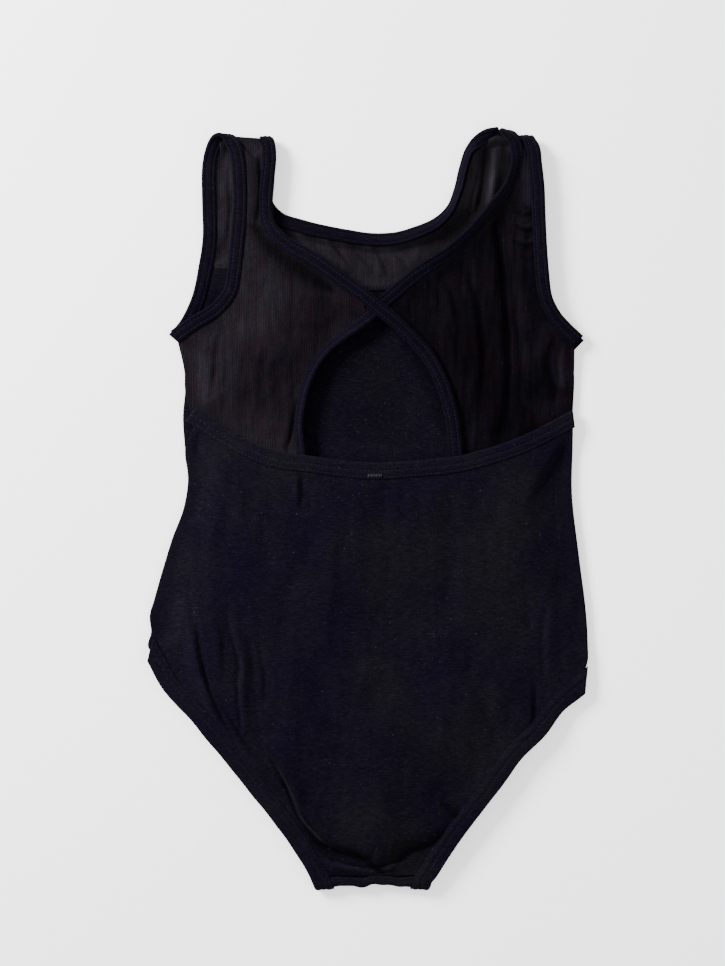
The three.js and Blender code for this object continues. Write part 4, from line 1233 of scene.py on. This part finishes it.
def buildLabel():
    # a blank satin label folded double, its ends under the hem's tack
    length, width = 28, 24
    count = 9
    across = np.linspace(-width / 2, width / 2, count)
    frames = {
        "place": np.stack([labelPlace["x"] + across, np.full(count, labelPlace["y"]),
                           labelPlace["z"] + 0.15 * np.sin(across * 0.4)], axis=1),
        "outward": np.tile([0, 0, 1.0], (count, 1)),
        "inward": np.tile([0, 1.0, 0], (count, 1)),
        "tangent": np.tile([1.0, 0, 0], (count, 1)),
        "width": length, "length": width, "hand": 1, "ends": (square, square),
    }
    look = {"radius": 0.65, "rows": (), "groove": 0, "mouthDrop": 0.2, "mouthSoft": 1, "puff": 0.1, "give": 0.1,
            "edgeWave": 0, "seed": 2, "thickness": 0.35}
    piece = foldedStrip("label_blank", frames, look, satin)
    finishPiece(piece, "label", "care_label")


def buildTacks():
    # the label's tack shows on the back as a short row of paler stitches; the other holds the crossing
    starts, ends, bows = [], [], []
    for k in range(9):
        x = 0.6 + k * 1.1
        starts.append((x, 21.0, 12.1 - 0.02 * k))
        ends.append((x + 0.5, 23.6, 12.1))
        bows.append((0, 0, 1))
    for k in range(4):
        starts.append((0.2 + k * 2.6, 22.3, 12.25))
        ends.append((2.4 + k * 2.6, 22.4, 12.25))
        bows.append((0, 0, 1))
    tack = threadMesh("tack_label", starts, ends, bows, 0.22, tackThread)
    finishPiece(tack, "thread", "label_tack")
    starts, ends, bows = [], [], []
    for k in range(8):
        offset = -4 + k * 1.1
        starts.append((7 + offset - 1.6, 136 + offset + 1.6, 4.8))
        ends.append((7 + offset + 1.9, 136 + offset - 1.6, 4.8))
        bows.append((0, 0, -1))
    crossing = threadMesh("tack_crossing", starts, ends, bows, 0.25, thread)
    finishPiece(crossing, "thread", "crossing_tack")


buildGusset()
buildLabel()
buildTacks()
print("inner pieces ready")


stageLook = {"halfSide": 3, "gap": 0.0002, "colour": (0.93, 0.93, 0.93, 1), "glow": 0.8, "roomLight": 0.85}


def buildStage():
    mesh = bpy.data.meshes.new("ground")
    size = stageLook["halfSide"]
    floorZ = cadBounds[0][2] - stageLook["gap"]
    mesh.from_pydata([(-size, -size, floorZ), (size, -size, floorZ), (size, size, floorZ), (-size, size, floorZ)],
                     [], [(0, 1, 2, 3)])
    ground = bpy.data.objects.new("ground", mesh)
    bpy.context.scene.collection.objects.link(ground)
    material = bpy.data.materials.new("paleFloor")
    material.use_nodes = True
    shader = material.node_tree.nodes["Principled BSDF"]
    shader.inputs["Base Color"].default_value = stageLook["colour"]
    shader.inputs["Roughness"].default_value = 0.9
    shader.inputs["Specular IOR Level"].default_value = 0.1
    shader.inputs["Emission Color"].default_value = (1, 1, 1, 1)
    shader.inputs["Emission Strength"].default_value = stageLook["glow"]
    mesh.materials.append(material)


def buildLights():
    world = bpy.data.worlds.new("softRoom")
    world.use_nodes = True
    room = world.node_tree.nodes["Background"]
    room.inputs["Color"].default_value = (1, 1, 1, 1)
    room.inputs["Strength"].default_value = stageLook["roomLight"]
    bpy.context.scene.world = world
    # name, place, size, power
    lights = [("keyLight", (-1.25, 0.9, 0.85), 0.6, 120), ("fillLight", (1.1, -0.3, 1.5), 1.2, 14)]
    for name, place, size, power in lights:
        light = bpy.data.lights.new(name, "AREA")
        light.size = size
        light.energy = power
        lamp = bpy.data.objects.new(name, light)
        lamp.location = place
        lamp.rotation_euler = (Vector((0, 0, 0)) - Vector(place)).to_track_quat("-Z", "Y").to_euler()
        bpy.context.scene.collection.objects.link(lamp)


def buildCamera():
    view = {"lens": 80, "height": 1.46, "x": -0.0037, "y": 0.0173}
    camera = bpy.data.cameras.new("camera")
    camera.lens = view["lens"]
    camera.sensor_fit = "VERTICAL"
    camera.sensor_height = 36
    holder = bpy.data.objects.new("camera", camera)
    holder.location = (view["x"], view["y"], view["height"])
    bpy.context.scene.collection.objects.link(holder)
    bpy.context.scene.camera = holder


buildStage()
buildLights()
buildCamera()
print("stage ready")
